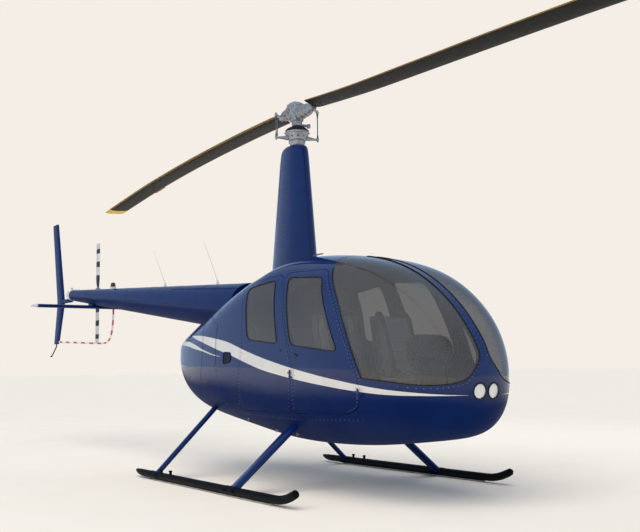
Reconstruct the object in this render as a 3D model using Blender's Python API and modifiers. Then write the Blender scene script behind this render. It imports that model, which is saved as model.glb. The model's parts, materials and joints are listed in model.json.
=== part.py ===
# A light four-seat, single-engined helicopter on skids, at its real size.
# Metres, +X to the nose, +Y to port, +Z up, origin on the ground under the middle of the outer box.
# Lengths along X in the tables are measured from the main rotor's axis, which stands at MAST_X.

import math

import bmesh
import bpy
from mathutils import Vector

MAST_X = 0.8564
TOUCH = 0.0003
WALL = 0.035
DOOR_GAP = 0.006
GLASS = 0.006
GLASS_INSET = 0.006
RING = 32
ROUND_SIDES = 32
DOOR_CORNER = 0.07
WINDOW_CORNER = 0.06
SCREEN_CORNER = 0.05

PANEL_SPLIT_X = -0.42
FIREWALL_X = -0.36
FIREWALL_THICK = 0.020
FLOOR_TOP = 0.530
FLOOR_THICK = 0.025

ROTOR_RADIUS = 5.029
BLADE_CHORD = 0.254
BLADE_TURN = math.radians(-2.4)
HUB_Z = 3.37
GRIP_START = 0.150
GRIP_R = 0.056
BLADE_START = 0.300
BLADE_GAP = 0.0004
MAST_R = 0.040
BEARING_GAP = 0.0006
RUNNING_GAP = 0.0055
LINK_OUT = 0.195
# Heights of the pitch horns' ends, by way: 1 is the blade ahead, -1 the one behind.
LINK_TOPS = {1: 3.365, -1: 3.318}
FAIRING_TOP = 3.030

CONE_FRONT = (-0.85, 1.5770, 0.2470)
CONE_REAR = (-5.80, 2.0438, 0.0757)
CONE_WALL = 0.006

TAIL_ROTOR = (-5.893, 0.388, 2.090)
TAIL_RADIUS = 0.7365
TAIL_CHORD = 0.130

STABILIZER_X = -5.03
STABILIZER_Z = 1.830
STABILIZER_CHORD = 0.240
STABILIZER_THICK = 0.044
STABILIZER_SPAN = 0.830

LAMP_Y = 0.066
LAMP_Z = 0.81
LAMP_R = 0.052
LAMP_SUNK = 0.003

SKID_Y = 1.060
SKID_R = 0.032
SKID_Z = 0.045
SKID_SIDES = 10
SHOE_REAR = -0.780
SHOE_FRONT = 1.240
SHOE_TOP = SKID_Z - SKID_R * math.cos(math.pi / SKID_SIDES) - TOUCH

# How far the main blades hang at rest: radius, drop of the front one, drop of the rear one.
BLADE_LINE = [
    (0.000, 0.000, 0.0000),
    (0.150, 0.006, -0.0015),
    (0.430, 0.030, -0.0030),
    (0.720, 0.054, -0.0027),
    (1.200, 0.087, 0.0022),
    (2.000, 0.124, 0.0220),
    (2.800, 0.160, 0.0566),
    (3.700, 0.208, 0.1130),
    (4.930, 0.284, 0.2203),
    (5.029, 0.290, 0.2305),
]

# Body sections: distance ahead of the rotor axis, half width, bottom, height of the widest
# line, top, exponent of the lower curve, exponent of the upper curve, slope of the sloping deck.
BODY = [
    (2.380, 0.000, 0.915, 0.915, 0.915, 2.0, 2.0, 0.00),
    (2.372, 0.110, 0.785, 0.910, 1.010, 2.0, 2.0, 0.00),
    (2.345, 0.210, 0.655, 0.900, 1.095, 2.1, 2.1, 0.00),
    (2.290, 0.310, 0.555, 0.900, 1.190, 2.2, 2.4, 0.00),
    (2.195, 0.405, 0.492, 0.905, 1.315, 2.3, 2.8, 0.00),
    (2.060, 0.485, 0.460, 0.920, 1.460, 2.4, 3.2, 0.00),
    (1.850, 0.552, 0.433, 0.940, 1.620, 2.5, 3.5, 0.00),
    (1.600, 0.598, 0.405, 0.960, 1.755, 2.5, 3.7, 0.00),
    (1.300, 0.628, 0.374, 0.980, 1.852, 2.5, 3.6, 0.00),
    (0.950, 0.640, 0.358, 1.000, 1.910, 2.5, 3.3, 0.00),
    (0.550, 0.641, 0.356, 1.000, 1.960, 2.5, 3.3, 0.08),
    (0.150, 0.640, 0.380, 1.000, 1.990, 2.4, 4.0, 0.25),
    (-0.170, 0.634, 0.420, 1.010, 1.970, 2.3, 4.2, 0.36),
    (-0.500, 0.620, 0.470, 1.020, 1.930, 2.4, 4.2, 0.47),
    (-0.800, 0.592, 0.520, 1.035, 1.870, 2.6, 4.0, 0.58),
    (-1.050, 0.557, 0.570, 1.045, 1.800, 2.8, 4.0, 0.63),
    (-1.280, 0.512, 0.640, 1.060, 1.710, 2.8, 4.0, 0.66),
    (-1.450, 0.466, 0.725, 1.085, 1.610, 2.6, 3.8, 0.68),
    (-1.620, 0.390, 0.850, 1.120, 1.490, 2.4, 3.4, 0.66),
    (-1.740, 0.295, 0.980, 1.150, 1.390, 2.2, 2.8, 0.60),
    (-1.800, 0.185, 1.080, 1.165, 1.290, 2.0, 2.2, 0.40),
    (-1.825, 0.000, 1.175, 1.175, 1.175, 2.0, 2.0, 0.00),
]
DECK_SHARP = 14

# Door and window outlines seen from the side: distance ahead of the rotor axis, height.
FRONT_DOOR = [
    (1.175, 1.755), (1.385, 1.475), (1.500, 1.240), (1.655, 0.890), (1.640, 0.700),
    (1.500, 0.640), (0.770, 0.620), (0.885, 0.930), (0.625, 1.770),
]
REAR_DOOR = [
    (0.600, 1.760), (0.860, 0.930), (0.740, 0.620), (-0.150, 0.620), (-0.030, 0.850),
    (0.070, 1.190), (0.055, 1.725),
]
FRONT_WINDOW = [(1.150, 1.695), (1.440, 1.100), (0.835, 1.165), (0.690, 1.725)]
REAR_WINDOW = [(0.520, 1.715), (0.645, 1.180), (0.160, 1.230), (0.100, 1.675)]
# The windscreen's rear edge from the side, and its lower edge from the front: distance from
# the middle, height.
SCREEN_SIDE = [
    (1.080, 2.300), (1.080, 1.900), (1.192, 1.785), (1.413, 1.490), (1.524, 1.260),
    (1.603, 1.074), (1.700, 0.880), (1.760, 0.700), (2.800, 0.700), (2.800, 2.300),
]
SCREEN_FRONT = [
    (1.040, 0.0), (0.889, 0.125), (0.857, 0.255), (0.853, 0.378), (0.868, 0.458),
    (0.905, 0.538), (0.950, 0.760), (2.300, 0.760), (2.300, 0.0),
]
WINDSCREEN_STRIP = 0.042
DOOR_AXIS_OUT = 0.014
KNUCKLE_R = 0.008
KNUCKLE_LENGTH = 0.036
HINGE_GAP = 0.0004

HINGE_ARM_R = 0.0065
# The cooling opening under the cowl, and the engine: low corner, high corner.
COOLING_EXIT = ((-1.10, -0.22, 0.30), (-0.70, 0.22, 0.80))
ENGINE_LENGTH = 0.580
ENGINE_HALF = 0.320
ENGINE_Z = (0.720, 1.180)

# Doors: name, outline, window outline, distance of the hinge axis ahead of the rotor axis,
# height of the hinge, how far behind the axis its strap meets the door, and how far ahead
# of the axis the foot of its post meets the body.
DOORS = [
    ("front", FRONT_DOOR, FRONT_WINDOW, 1.668, 0.790, 0.050, 0.001),
    ("rear", REAR_DOOR, REAR_WINDOW, 0.848, 0.930, 0.035, 0.0135),
]
SIDES = [("right", -1), ("left", 1)]

# Cabin pieces seen from the side: distance ahead of the rotor axis, height.
SEAT_BASE = FLOOR_TOP + TOUCH
FRONT_SEAT = [
    (1.56, SEAT_BASE), (1.60, 0.83), (1.56, 0.88), (1.16, 0.84), (1.03, 1.42),
    (0.95, 1.44), (0.92, 1.40), (1.03, 0.80), (1.06, SEAT_BASE),
]
FRONT_SEAT_Y = (0.065, 0.525)
REAR_BENCH = [
    (0.60, SEAT_BASE), (0.63, 0.84), (0.59, 0.89), (0.17, 0.84), (-0.02, 1.40),
    (-0.12, 1.42), (-0.15, 1.38), (0.02, 0.80), (0.04, SEAT_BASE),
]
REAR_BENCH_HALF = 0.535
PEDESTAL = [(1.66, SEAT_BASE), (1.98, SEAT_BASE), (1.90, 0.86), (1.84, 1.10), (1.72, 1.10)]
PEDESTAL_HALF = 0.075
CONSOLE_POD = [(1.66, 1.02), (1.80, 0.98), (1.90, 1.02), (1.88, 1.17), (1.74, 1.25), (1.68, 1.23)]
CONSOLE_POD_HALF = 0.190
# The cyclic stick's post and the bar across it: distance, half span, height.
STICK_POST = [(1.64, 0.0, SEAT_BASE), (1.64, 0.0, 0.70), (1.60, 0.0, 0.95)]
STICK_R = 0.012
STICK_BAR = [(1.58, -0.34, 0.93), (1.60, -0.26, 1.02), (1.60, 0.26, 1.02), (1.58, 0.34, 0.93)]
STICK_BAR_R = 0.011

# Mast fairing, ellipses drawn out to a finer tail: height, front, tail, half width.
FAIRING = [
    (1.700, 0.262, -0.440, 0.132), (1.950, 0.248, -0.412, 0.126), (2.450, 0.196, -0.342, 0.106),
    (2.900, 0.146, -0.276, 0.088), (2.985, 0.132, -0.256, 0.083), (FAIRING_TOP, 0.090, -0.195, 0.072),
]
FAIRING_SIDES = 28
FAIRING_TAPER = 1.25
FIXED_PLATE = (0.050, 0.068, 0.092)
TURNING_PLATE = (0.036, 0.100, 0.108)
BOOT = [(0.0, 0.104), (0.018, 0.112), (0.040, 0.102), (0.060, 0.076), (0.070, 0.050)]
HUB_R = 0.052
HUB_CAP = (0.055, 0.085, 0.060, 0.048)
BLADE_ROOT_R = 0.030
LINK_R = 0.009
HORN_R = 0.015
# Main blade sections: distance from the rotor axis, how much of the chord lies ahead of the
# blade's line and how much behind it, thickness.
BLADE_SECTIONS = [
    (BLADE_START + BLADE_GAP, 0.22, 0.12, 0.028), (0.430, 0.30, 0.32, 0.032),
    (0.720, 0.30, 0.70, 0.032), (1.200, 0.30, 0.70, 0.032), (2.000, 0.30, 0.70, 0.032),
    (2.800, 0.30, 0.70, 0.031), (3.700, 0.30, 0.70, 0.031), (4.930, 0.30, 0.70, 0.030),
    (ROTOR_RADIUS, 0.24, 0.56, 0.020),
]
# Tail blade sections: distance from the tail rotor's axis, chord, thickness.
TAIL_SECTIONS = [
    (0.0853, 0.070, 0.024), (0.150, 0.100, 0.018), (0.190, TAIL_CHORD, 0.015),
    (TAIL_RADIUS, TAIL_CHORD, 0.013),
]
YOKE_HALF = 0.085
GEARBOX = (0.185, 0.055)
OUTPUT_FACE_Y = 0.250

# Fin sections: height, leading edge, trailing edge, thickness.
FIN = [
    (1.370, -6.380, -6.600, 0.026), (1.940, -6.190, -6.490, 0.040),
    (2.020, -6.195, -6.498, 0.040), (3.165, -6.500, -6.740, 0.026),
]
BRACKET_Y = 0.024
BRACKET_Z = (1.955, 2.010)
TAIL_SKID = [(-6.495, 0, 1.370 - TOUCH), (-6.495, 0, 1.335), (-6.690, 0, 1.200), (-6.730, 0, 1.192)]
TAIL_SKID_R = 0.008
GUARD = [
    (-4.985, 0.26, STABILIZER_Z - STABILIZER_THICK / 2 - TOUCH), (-4.985, 0.26, 1.76),
    (-5.060, 0.26, 1.46), (-5.30, 0.25, 1.350), (-6.250, 0.0, 1.392), (-6.3652, 0.0, 1.400),
]
GUARD_R = 0.0125
GUARD_BEND = 0.16
BEACON = (-4.37, 0.105, 0.034, 0.030)
# Antennas: name, distance of the foot, top point.
WHIPS = [("aft", -2.80, (-3.14, 0, 2.40)), ("front", -1.53, (-1.85, 0, 2.36))]
WHIP_R = 0.014
PITOT = [(0.2465, 0, 1.975), (0.330, 0, 1.985), (0.400, 0, 1.985)]
PITOT_R = 0.008

# A skid's middle line: distance, height. Its thickness there, as a fraction of the full one.
RAIL = [
    (-1.150, 0.060), (-1.060, 0.050), (-0.960, SKID_Z), (1.260, SKID_Z), (1.350, 0.049),
    (1.430, 0.066), (1.500, 0.092), (1.548, 0.114), (1.562, 0.120),
]
RAIL_FAT = [0.30, 0.80, 1.0, 1.0, 1.0, 1.0, 1.0, 0.92, 0.5]
SHOE_HALF = 0.024
# Legs: name, foot distance, top distance, top half width, top height, chord, thickness.
LEGS = [
    ("front", 0.640, 0.635, 0.456, 0.530, 0.135, 0.046),
    ("rear", -0.750, -0.765, 0.420, 0.650, 0.085, 0.042),
]
LEG_FOOT = (1.052, 0.050)

BLUE = (0.010, 0.035, 0.180)
GREY_METAL = (0.30, 0.31, 0.33)
BLACK = (0.015, 0.015, 0.016)

PALETTE = {
    "blue_paint": (BLUE, 0.18, 0.0),
    "smoked_glass": ((0.12, 0.12, 0.11), 0.05, 0.0),
    "grey_metal": (GREY_METAL, 0.35, 0.9),
    "black_paint": (BLACK, 0.45, 0.0),
    "charcoal": ((0.030, 0.032, 0.031), 0.5, 0.0),
    "light_grey": ((0.55, 0.56, 0.57), 0.4, 0.0),
    "seat_cloth": ((0.16, 0.16, 0.17), 0.9, 0.0),
    "dark_plastic": ((0.03, 0.03, 0.032), 0.6, 0.0),
    "engine_grey": ((0.20, 0.20, 0.21), 0.6, 0.5),
    "lamp_glass": ((0.85, 0.85, 0.82), 0.08, 0.0),
    "red_white": ((0.75, 0.10, 0.08), 0.4, 0.0),
}


def clear_scene():
    for item in list(bpy.data.objects):
        bpy.data.objects.remove(item, do_unlink=True)


def collection(name):
    group = bpy.data.collections.new(name)
    bpy.context.scene.collection.children.link(group)
    return group


clear_scene()
PARTS = collection("helicopter")
CUTTERS = collection("cutters")


def material(name):
    found = bpy.data.materials.get(name)
    if found:
        return found
    colour, rough, metallic = PALETTE[name]
    made = bpy.data.materials.new(name)
    made.use_nodes = True
    shader = made.node_tree.nodes["Principled BSDF"]
    shader.inputs["Base Color"].default_value = (*colour, 1.0)
    shader.inputs["Roughness"].default_value = rough
    shader.inputs["Metallic"].default_value = metallic
    made.diffuse_color = (*colour, 1.0)
    return made


def smooth(mesh, degrees=35.0):
    mesh.shade_smooth()
    mesh.set_sharp_from_angle(angle=math.radians(degrees))


def add_part(name, mesh, paint):
    mesh.materials.clear()
    mesh.materials.append(material(paint))
    obj = bpy.data.objects.new(name, mesh)
    PARTS.objects.link(obj)
    smooth(mesh)
    return obj


def add_cutter(name, mesh):
    obj = bpy.data.objects.new(name, mesh)
    obj.hide_render = True
    obj.display_type = "WIRE"
    CUTTERS.objects.link(obj)
    return obj


def mesh_from(name, build):
    shape = bmesh.new()
    build(shape)
    mesh = bpy.data.meshes.new(name)
    shape.to_mesh(mesh)
    shape.free()
    return mesh


def place(x, y, z):
    return Vector((MAST_X + x, y, z))


def boolean(obj, operation, tool):
    step = obj.modifiers.new(operation.title(), "BOOLEAN")
    step.operation = operation
    step.solver = "EXACT"
    step.object = tool
    return obj


def set_origin(obj, point):
    # The object's origin goes to the point, and its mesh stays where it is.
    obj.location = point
    for vertex in obj.data.vertices:
        vertex.co -= point


# Outlines

def inset(points, distance):
    # Each side moves inwards by the distance, and neighbouring sides meet again at a corner.
    area = 0.0
    count = len(points)
    for k in range(count):
        (ax, ay), (bx, by) = points[k], points[(k + 1) % count]
        area += ax * by - bx * ay
    turn = 1.0 if area > 0 else -1.0
    moved = []
    for k in range(count):
        before = Vector(points[k - 1])
        here = Vector(points[k])
        after = Vector(points[(k + 1) % count])
        into = (here - before).normalized()
        away = (after - here).normalized()
        first = Vector((-into.y, into.x)) * turn
        second = Vector((-away.y, away.x)) * turn
        corner = first + second
        corner *= distance * 2.0 / corner.length_squared
        moved.append(tuple(here + corner))
    return moved


def rounded(points, radius, steps=3):
    # Each corner becomes a short curve that starts and ends one radius from it.
    count = len(points)
    curve = []
    for k in range(count):
        here = Vector(points[k])
        back = Vector(points[k - 1]) - here
        ahead = Vector(points[(k + 1) % count]) - here
        reach = min(radius, 0.45 * back.length, 0.45 * ahead.length)
        start = here + back.normalized() * reach
        end = here + ahead.normalized() * reach
        for j in range(steps + 1):
            t = j / steps
            curve.append(tuple(start * (1 - t) ** 2 + here * 2 * t * (1 - t) + end * t * t))
    return curve


def prism_mesh(name, outline, axis, low, high):
    # The outline lies in the two directions other than the axis, in X, Y, Z order.
    def point(pair, level):
        if axis == "Y":
            return place(pair[0], level, pair[1])
        if axis == "X":
            return place(level, pair[0], pair[1])
        return place(pair[0], pair[1], level)

    def build(shape):
        base = [shape.verts.new(point(pair, low)) for pair in outline]
        top = [shape.verts.new(point(pair, high)) for pair in outline]
        count = len(outline)
        shape.faces.new(base)
        shape.faces.new(list(reversed(top)))
        for k in range(count):
            n = (k + 1) % count
            shape.faces.new((base[n], base[k], top[k], top[n]))
        bmesh.ops.recalc_face_normals(shape, faces=shape.faces)

    return mesh_from(name, build)


def box_mesh(name, low, high):
    outline = [(low[0], low[1]), (high[0], low[1]), (high[0], high[1]), (low[0], high[1])]
    return prism_mesh(name, outline, "Z", low[2], high[2])


def rod_mesh(name, start, end, r_start, r_end=None, segments=24):
    # A cylinder or cone frustum between two points.
    start, end = Vector(start), Vector(end)
    if r_end is None:
        r_end = r_start
    along = end - start

    def build(shape):
        bmesh.ops.create_cone(
            shape, cap_ends=True, segments=segments, radius1=r_start, radius2=r_end,
            depth=along.length)
        turn = Vector((0, 0, 1)).rotation_difference(along).to_matrix().to_4x4()
        turn.translation = (start + end) / 2
        bmesh.ops.transform(shape, matrix=turn, verts=shape.verts)

    return mesh_from(name, build)


def tube_mesh(name, points, radius, sides=2, radii=None):
    # A bent tube as a curve with filled caps, made a closed mesh.
    data = bpy.data.curves.new(name, "CURVE")
    data.dimensions = "3D"
    data.bevel_depth = radius
    data.bevel_resolution = sides
    data.use_fill_caps = True
    line = data.splines.new("POLY")
    line.points.add(len(points) - 1)
    for k, point in enumerate(points):
        line.points[k].co = (*point, 1.0)
        line.points[k].radius = 1.0 if radii is None else radii[k]
    temporary = bpy.data.objects.new(name, data)
    bpy.context.scene.collection.objects.link(temporary)
    graph = bpy.context.evaluated_depsgraph_get()
    mesh = bpy.data.meshes.new_from_object(temporary.evaluated_get(graph))
    bpy.data.objects.remove(temporary)
    shape = bmesh.new()
    shape.from_mesh(mesh)
    bmesh.ops.remove_doubles(shape, verts=shape.verts, dist=0.00005)
    bmesh.ops.recalc_face_normals(shape, faces=shape.faces)
    shape.to_mesh(mesh)
    shape.free()
    return mesh


def bend(points, radius, steps=4):
    # The route's inner corners become short curves.
    route = [Vector(points[0])]
    for k in range(1, len(points) - 1):
        here = Vector(points[k])
        back = Vector(points[k - 1]) - here
        ahead = Vector(points[k + 1]) - here
        reach = min(radius, 0.48 * back.length, 0.48 * ahead.length)
        start = here + back.normalized() * reach
        end = here + ahead.normalized() * reach
        for j in range(steps + 1):
            t = j / steps
            route.append(start * (1 - t) ** 2 + here * 2 * t * (1 - t) + end * t * t)
    route.append(Vector(points[-1]))
    return route


def wing_mesh(name, sections, steps=5):
    # Sections are (leading point, trailing point, thickness, direction of the thickness).
    # Half thickness at the fraction c of the chord: the usual symmetric aerofoil formula.
    def half(c, thickness):
        shape = 0.2969 * math.sqrt(c) - 0.1260 * c - 0.3516 * c ** 2 + 0.2843 * c ** 3
        return 5.0 * thickness * (shape - 0.1015 * c ** 4) + 0.0012 * c

    fractions = [0.5 * (1 - math.cos(math.pi * k / steps)) for k in range(steps + 1)]

    def ring(lead, trail, thickness, side):
        chord = trail - lead
        upper = [lead + chord * c + side * half(c, thickness) for c in fractions]
        lower = [lead + chord * c - side * half(c, thickness) for c in fractions[1:]]
        return upper + lower[::-1]

    def build(shape):
        rows = []
        for lead, trail, thickness, side in sections:
            points = ring(Vector(lead), Vector(trail), thickness, Vector(side).normalized())
            rows.append([shape.verts.new(p) for p in points])
        count = len(rows[0])
        for first, second in zip(rows, rows[1:]):
            for k in range(count):
                n = (k + 1) % count
                shape.faces.new((first[k], first[n], second[n], second[k]))
        shape.faces.new(rows[0])
        shape.faces.new(rows[-1])
        bmesh.ops.triangulate(shape, faces=shape.faces)
        bmesh.ops.recalc_face_normals(shape, faces=shape.faces)

    return mesh_from(name, build)


# Body skin

def section_ring(row):
    x, width, bottom, middle, top, lower, upper, deck = row
    points = []
    for k in range(RING):
        angle = 2 * math.pi * k / RING - math.pi / 2
        c, s = math.cos(angle), math.sin(angle)
        power = upper if s > 0 else lower
        side = (abs(c) ** power + abs(s) ** power) ** (1 / power)
        share = min(1.0, max(0.0, 4 * deck)) if s > 0 else 0.0
        plane = max(0.0, deck * abs(c) + s)
        reach = (side ** DECK_SHARP + share * plane ** DECK_SHARP) ** (-1 / DECK_SHARP)
        height = (top - middle) if s > 0 else (middle - bottom)
        points.append(place(x, width * reach * c, middle + height * reach * s))
    return points


def skin_mesh():
    def build(shape):
        nose = shape.verts.new(place(BODY[0][0], 0, BODY[0][3]))
        tail = shape.verts.new(place(BODY[-1][0], 0, BODY[-1][3]))
        rings = [[shape.verts.new(p) for p in section_ring(row)] for row in BODY[1:-1]]
        for k in range(RING):
            n = (k + 1) % RING
            shape.faces.new((nose, rings[0][k], rings[0][n]))
            shape.faces.new((tail, rings[-1][n], rings[-1][k]))
            for first, second in zip(rings, rings[1:]):
                a, b, c, d = first[k], second[k], second[n], first[n]
                if k < RING / 2:
                    shape.faces.new((a, b, c))
                    shape.faces.new((a, c, d))
                else:
                    shape.faces.new((a, b, d))
                    shape.faces.new((b, c, d))
        bmesh.ops.recalc_face_normals(shape, faces=shape.faces)

    return mesh_from("skin", build)


SKIN = skin_mesh()


def skin_offset(name, distance):
    # The closed skin moved outwards along its normals, for cutting what meets it.
    obj = add_cutter(name, SKIN.copy())
    move = obj.modifiers.new("Offset", "DISPLACE")
    move.direction = "NORMAL"
    move.mid_level = 0.0
    move.strength = distance
    return obj


def panel(name, paint, keep, cuts, depth=0.0, thickness=WALL):
    # A piece of the body's wall: the skin, thickened inwards, inside one outline and
    # outside the others. A depth sinks it below the skin.
    obj = add_part(name, SKIN.copy(), paint)
    if depth:
        move = obj.modifiers.new("Sink", "DISPLACE")
        move.direction = "NORMAL"
        move.mid_level = 0.0
        move.strength = -depth
    wall = obj.modifiers.new("Wall", "SOLIDIFY")
    wall.thickness = thickness
    wall.offset = -1.0
    boolean(obj, "INTERSECT", keep)
    for tool in cuts:
        boolean(obj, "DIFFERENCE", tool)
    return obj


def side_cutter(name, outline, side, inner=0.20):
    low, high = sorted((side * inner, side * 0.80))
    return add_cutter(name, prism_mesh(name, outline, "Y", low, high))


def cone_point(x):
    # Height of the tail cone's axis and its radius at a distance along it.
    t = (x - CONE_FRONT[0]) / (CONE_REAR[0] - CONE_FRONT[0])
    z = CONE_FRONT[1] + t * (CONE_REAR[1] - CONE_FRONT[1])
    radius = CONE_FRONT[2] + t * (CONE_REAR[2] - CONE_FRONT[2])
    return z, radius


def body_half_width(x, z=0.95):
    # Half width of the skin at one distance along the body and one height.
    for first, second in zip(BODY, BODY[1:]):
        if second[0] <= x <= first[0]:
            t = (x - first[0]) / (second[0] - first[0])
            row = [a + (b - a) * t for a, b in zip(first, second)]
            break
    _, width, bottom, middle, top, lower, upper, _ = row
    power, height = (upper, top - middle) if z > middle else (lower, middle - bottom)
    return width * (1 - (abs(z - middle) / height) ** power) ** (1 / power)


def fuselage():
    big = 4.0
    front_half = add_cutter("front_half", box_mesh(
        "front_half", (PANEL_SPLIT_X, -big, -big), (big, big, big)))
    rear_half = add_cutter("rear_half", box_mesh(
        "rear_half", (-big, -big, -big), (PANEL_SPLIT_X - TOUCH, big, big)))
    cabin_cuts = []
    posts = []
    for side_name, side in SIDES:
        for door_name, outline, window, axis_x, hinge_z, strap, foot in DOORS:
            name = f"{door_name}_{side_name}"
            shape = rounded(outline, DOOR_CORNER)
            cabin_cuts.append(side_cutter(f"opening_{name}", shape, side))
            inner = rounded(inset(outline, DOOR_GAP), DOOR_CORNER)
            leaf = side_cutter(f"leaf_{name}", inner, side, 0.19)
            light = side_cutter(f"light_{name}", rounded(window, WINDOW_CORNER), side, 0.18)
            lens = rounded(inset(window, TOUCH), WINDOW_CORNER)
            pane = side_cutter(f"pane_{name}", lens, side, 0.17)
            door = panel(f"door_{name}", "blue_paint", leaf, [light])
            glass = panel(f"window_{name}", "smoked_glass", pane, [], GLASS_INSET, GLASS)
            axis = place(axis_x, side * (body_half_width(axis_x) + DOOR_AXIS_OUT), hinge_z)
            set_origin(door, axis)
            set_origin(glass, axis)
            hinge_post, hinge_strap = hinge_tools(name, axis, side, strap, foot)
            boolean(door, "UNION", hinge_strap)
            posts.append(hinge_post)
        cabin_cuts.append(screen_tool(f"screen_opening_{side_name}", side, 0.0))
        pane = screen_tool(f"screen_pane_{side_name}", side, TOUCH)
        panel(f"windshield_{side_name}", "smoked_glass", pane, [], GLASS_INSET, GLASS)
    for side_name, side in SIDES:
        cabin_cuts.append(add_cutter(f"lamp_hole_{side_name}", rod_mesh(
            "lamp_hole", place(2.20, side * LAMP_Y, LAMP_Z), place(2.60, side * LAMP_Y, LAMP_Z),
            LAMP_R + 2 * TOUCH, None, 24)))
    shell = panel("cabin_shell", "blue_paint", front_half, cabin_cuts)
    for post in posts:
        boolean(shell, "UNION", post)
    cone = cone_cutter()
    vent = add_cutter("cooling_exit", box_mesh(
        "cooling_exit", *COOLING_EXIT))
    panel("engine_cowl", "blue_paint", rear_half, [cone, vent])


def screen_tool(name, side, shrink):
    # One half of the windscreen: what lies inside both its side and its front outline.
    face = [(side * (WINDSCREEN_STRIP + across), z) for z, across in SCREEN_FRONT]
    front = add_cutter(f"{name}_face", prism_mesh(
        "screen_face", rounded(inset(face, shrink), SCREEN_CORNER), "X", 0.9, 2.9))
    tool = add_cutter(name, prism_mesh(
        name, rounded(inset(SCREEN_SIDE, shrink), SCREEN_CORNER), "Y", -0.9, 0.9))
    boolean(tool, "INTERSECT", front)
    return tool


def hinge_tools(name, axis, side, strap, foot_ahead):
    # One knuckle stands on the body and one on the door, end to end on the door's axis.
    down = Vector((0, 0, HINGE_GAP / 2))
    length = Vector((0, 0, KNUCKLE_LENGTH))
    skin_y = axis.y - side * (DOOR_AXIS_OUT + 0.5 * WALL)
    post = add_cutter(f"hinge_post_{name}", rod_mesh(
        "hinge_post", axis - down - length, axis - down, KNUCKLE_R, None, 12))
    foot_z = axis.z - HINGE_GAP / 2 - KNUCKLE_LENGTH / 2
    foot_x = axis.x + foot_ahead
    foot_line = [Vector((foot_x, skin_y, foot_z)), Vector((foot_x, axis.y, foot_z))]
    if foot_ahead > HINGE_ARM_R:
        foot_line = bend(foot_line + [Vector((axis.x, axis.y, foot_z))], 0.006, 3)
    foot = add_cutter(f"hinge_foot_{name}", tube_mesh("hinge_foot", foot_line, HINGE_ARM_R))
    boolean(post, "UNION", foot)
    strap_tool = add_cutter(f"hinge_strap_{name}", rod_mesh(
        "hinge_strap", axis + down, axis + down + length, KNUCKLE_R, None, 12))
    arm_z = axis.z + HINGE_GAP / 2 + KNUCKLE_LENGTH / 2
    arm = add_cutter(f"hinge_arm_{name}", tube_mesh("hinge_arm", bend([
        Vector((axis.x - strap, skin_y, arm_z)), Vector((axis.x - strap + 0.004, axis.y, arm_z)),
        Vector((axis.x, axis.y, arm_z))], 0.008, 3), HINGE_ARM_R))
    boolean(strap_tool, "UNION", arm)
    return post, strap_tool


def cone_cutter():
    found = bpy.data.objects.get("cone_cutter")
    if found:
        return found
    front, rear = CONE_FRONT, CONE_REAR
    start = place(front[0] + 0.02, 0, front[1] - 0.0019)
    return add_cutter("cone_cutter", rod_mesh(
        "cone_cutter", start, place(rear[0], 0, rear[1]),
        front[2] + 0.0007 + 2 * TOUCH, rear[2] + 2 * TOUCH, ROUND_SIDES))


def inner_space():
    found = bpy.data.objects.get("inner_space")
    return found or skin_offset("inner_space", -(WALL + TOUCH))


def seat_space():
    found = bpy.data.objects.get("seat_space")
    return found or skin_offset("seat_space", -(WALL + 2 * DOOR_GAP))


def outer_space():
    found = bpy.data.objects.get("outer_space")
    return found or skin_offset("outer_space", TOUCH)


def cabin_inside():
    floor = add_part("cabin_floor", box_mesh(
        "cabin_floor", (FIREWALL_X + TOUCH, -1, FLOOR_TOP - FLOOR_THICK),
        (2.6, 1, FLOOR_TOP)), "dark_plastic")
    boolean(floor, "INTERSECT", inner_space())
    wall = add_part("firewall", box_mesh(
        "firewall", (FIREWALL_X - FIREWALL_THICK, -1, 0.2), (FIREWALL_X, 1, 2.4)), "dark_plastic")
    boolean(wall, "INTERSECT", inner_space())
    start = FIREWALL_X - FIREWALL_THICK - TOUCH
    add_part("engine_block", box_mesh(
        "engine_block", (start - ENGINE_LENGTH, -ENGINE_HALF, ENGINE_Z[0]),
        (start, ENGINE_HALF, ENGINE_Z[1])), "engine_grey")

    for side_name, side in SIDES:
        low, high = sorted(side * y for y in FRONT_SEAT_Y)
        seat = add_part(f"front_seat_{side_name}", prism_mesh(
            "front_seat", FRONT_SEAT, "Y", low, high), "seat_cloth")
        boolean(seat, "INTERSECT", seat_space())
    bench = add_part("rear_bench", prism_mesh(
        "rear_bench", REAR_BENCH, "Y", -REAR_BENCH_HALF, REAR_BENCH_HALF), "seat_cloth")
    boolean(bench, "INTERSECT", seat_space())

    console = add_part("instrument_console", prism_mesh(
        "pedestal", PEDESTAL, "Y", -PEDESTAL_HALF, PEDESTAL_HALF), "dark_plastic")
    pod = add_cutter("console_pod", prism_mesh(
        "console_pod", CONSOLE_POD, "Y", -CONSOLE_POD_HALF, CONSOLE_POD_HALF))
    boolean(console, "UNION", pod)

    stick = add_part("cyclic_stick", tube_mesh(
        "cyclic_stick", bend([place(*p) for p in STICK_POST], 0.10), STICK_R), "dark_plastic")
    bar = add_cutter("stick_bar", tube_mesh(
        "stick_bar", bend([place(*p) for p in STICK_BAR], 0.05), STICK_BAR_R))
    post = add_cutter("stick_post", rod_mesh(
        "stick_post", place(1.6021, 0, 0.94), place(1.60, 0, 1.02), STICK_R - 0.0002, None, 12))
    boolean(stick, "UNION", post)
    boolean(stick, "UNION", bar)


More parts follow.
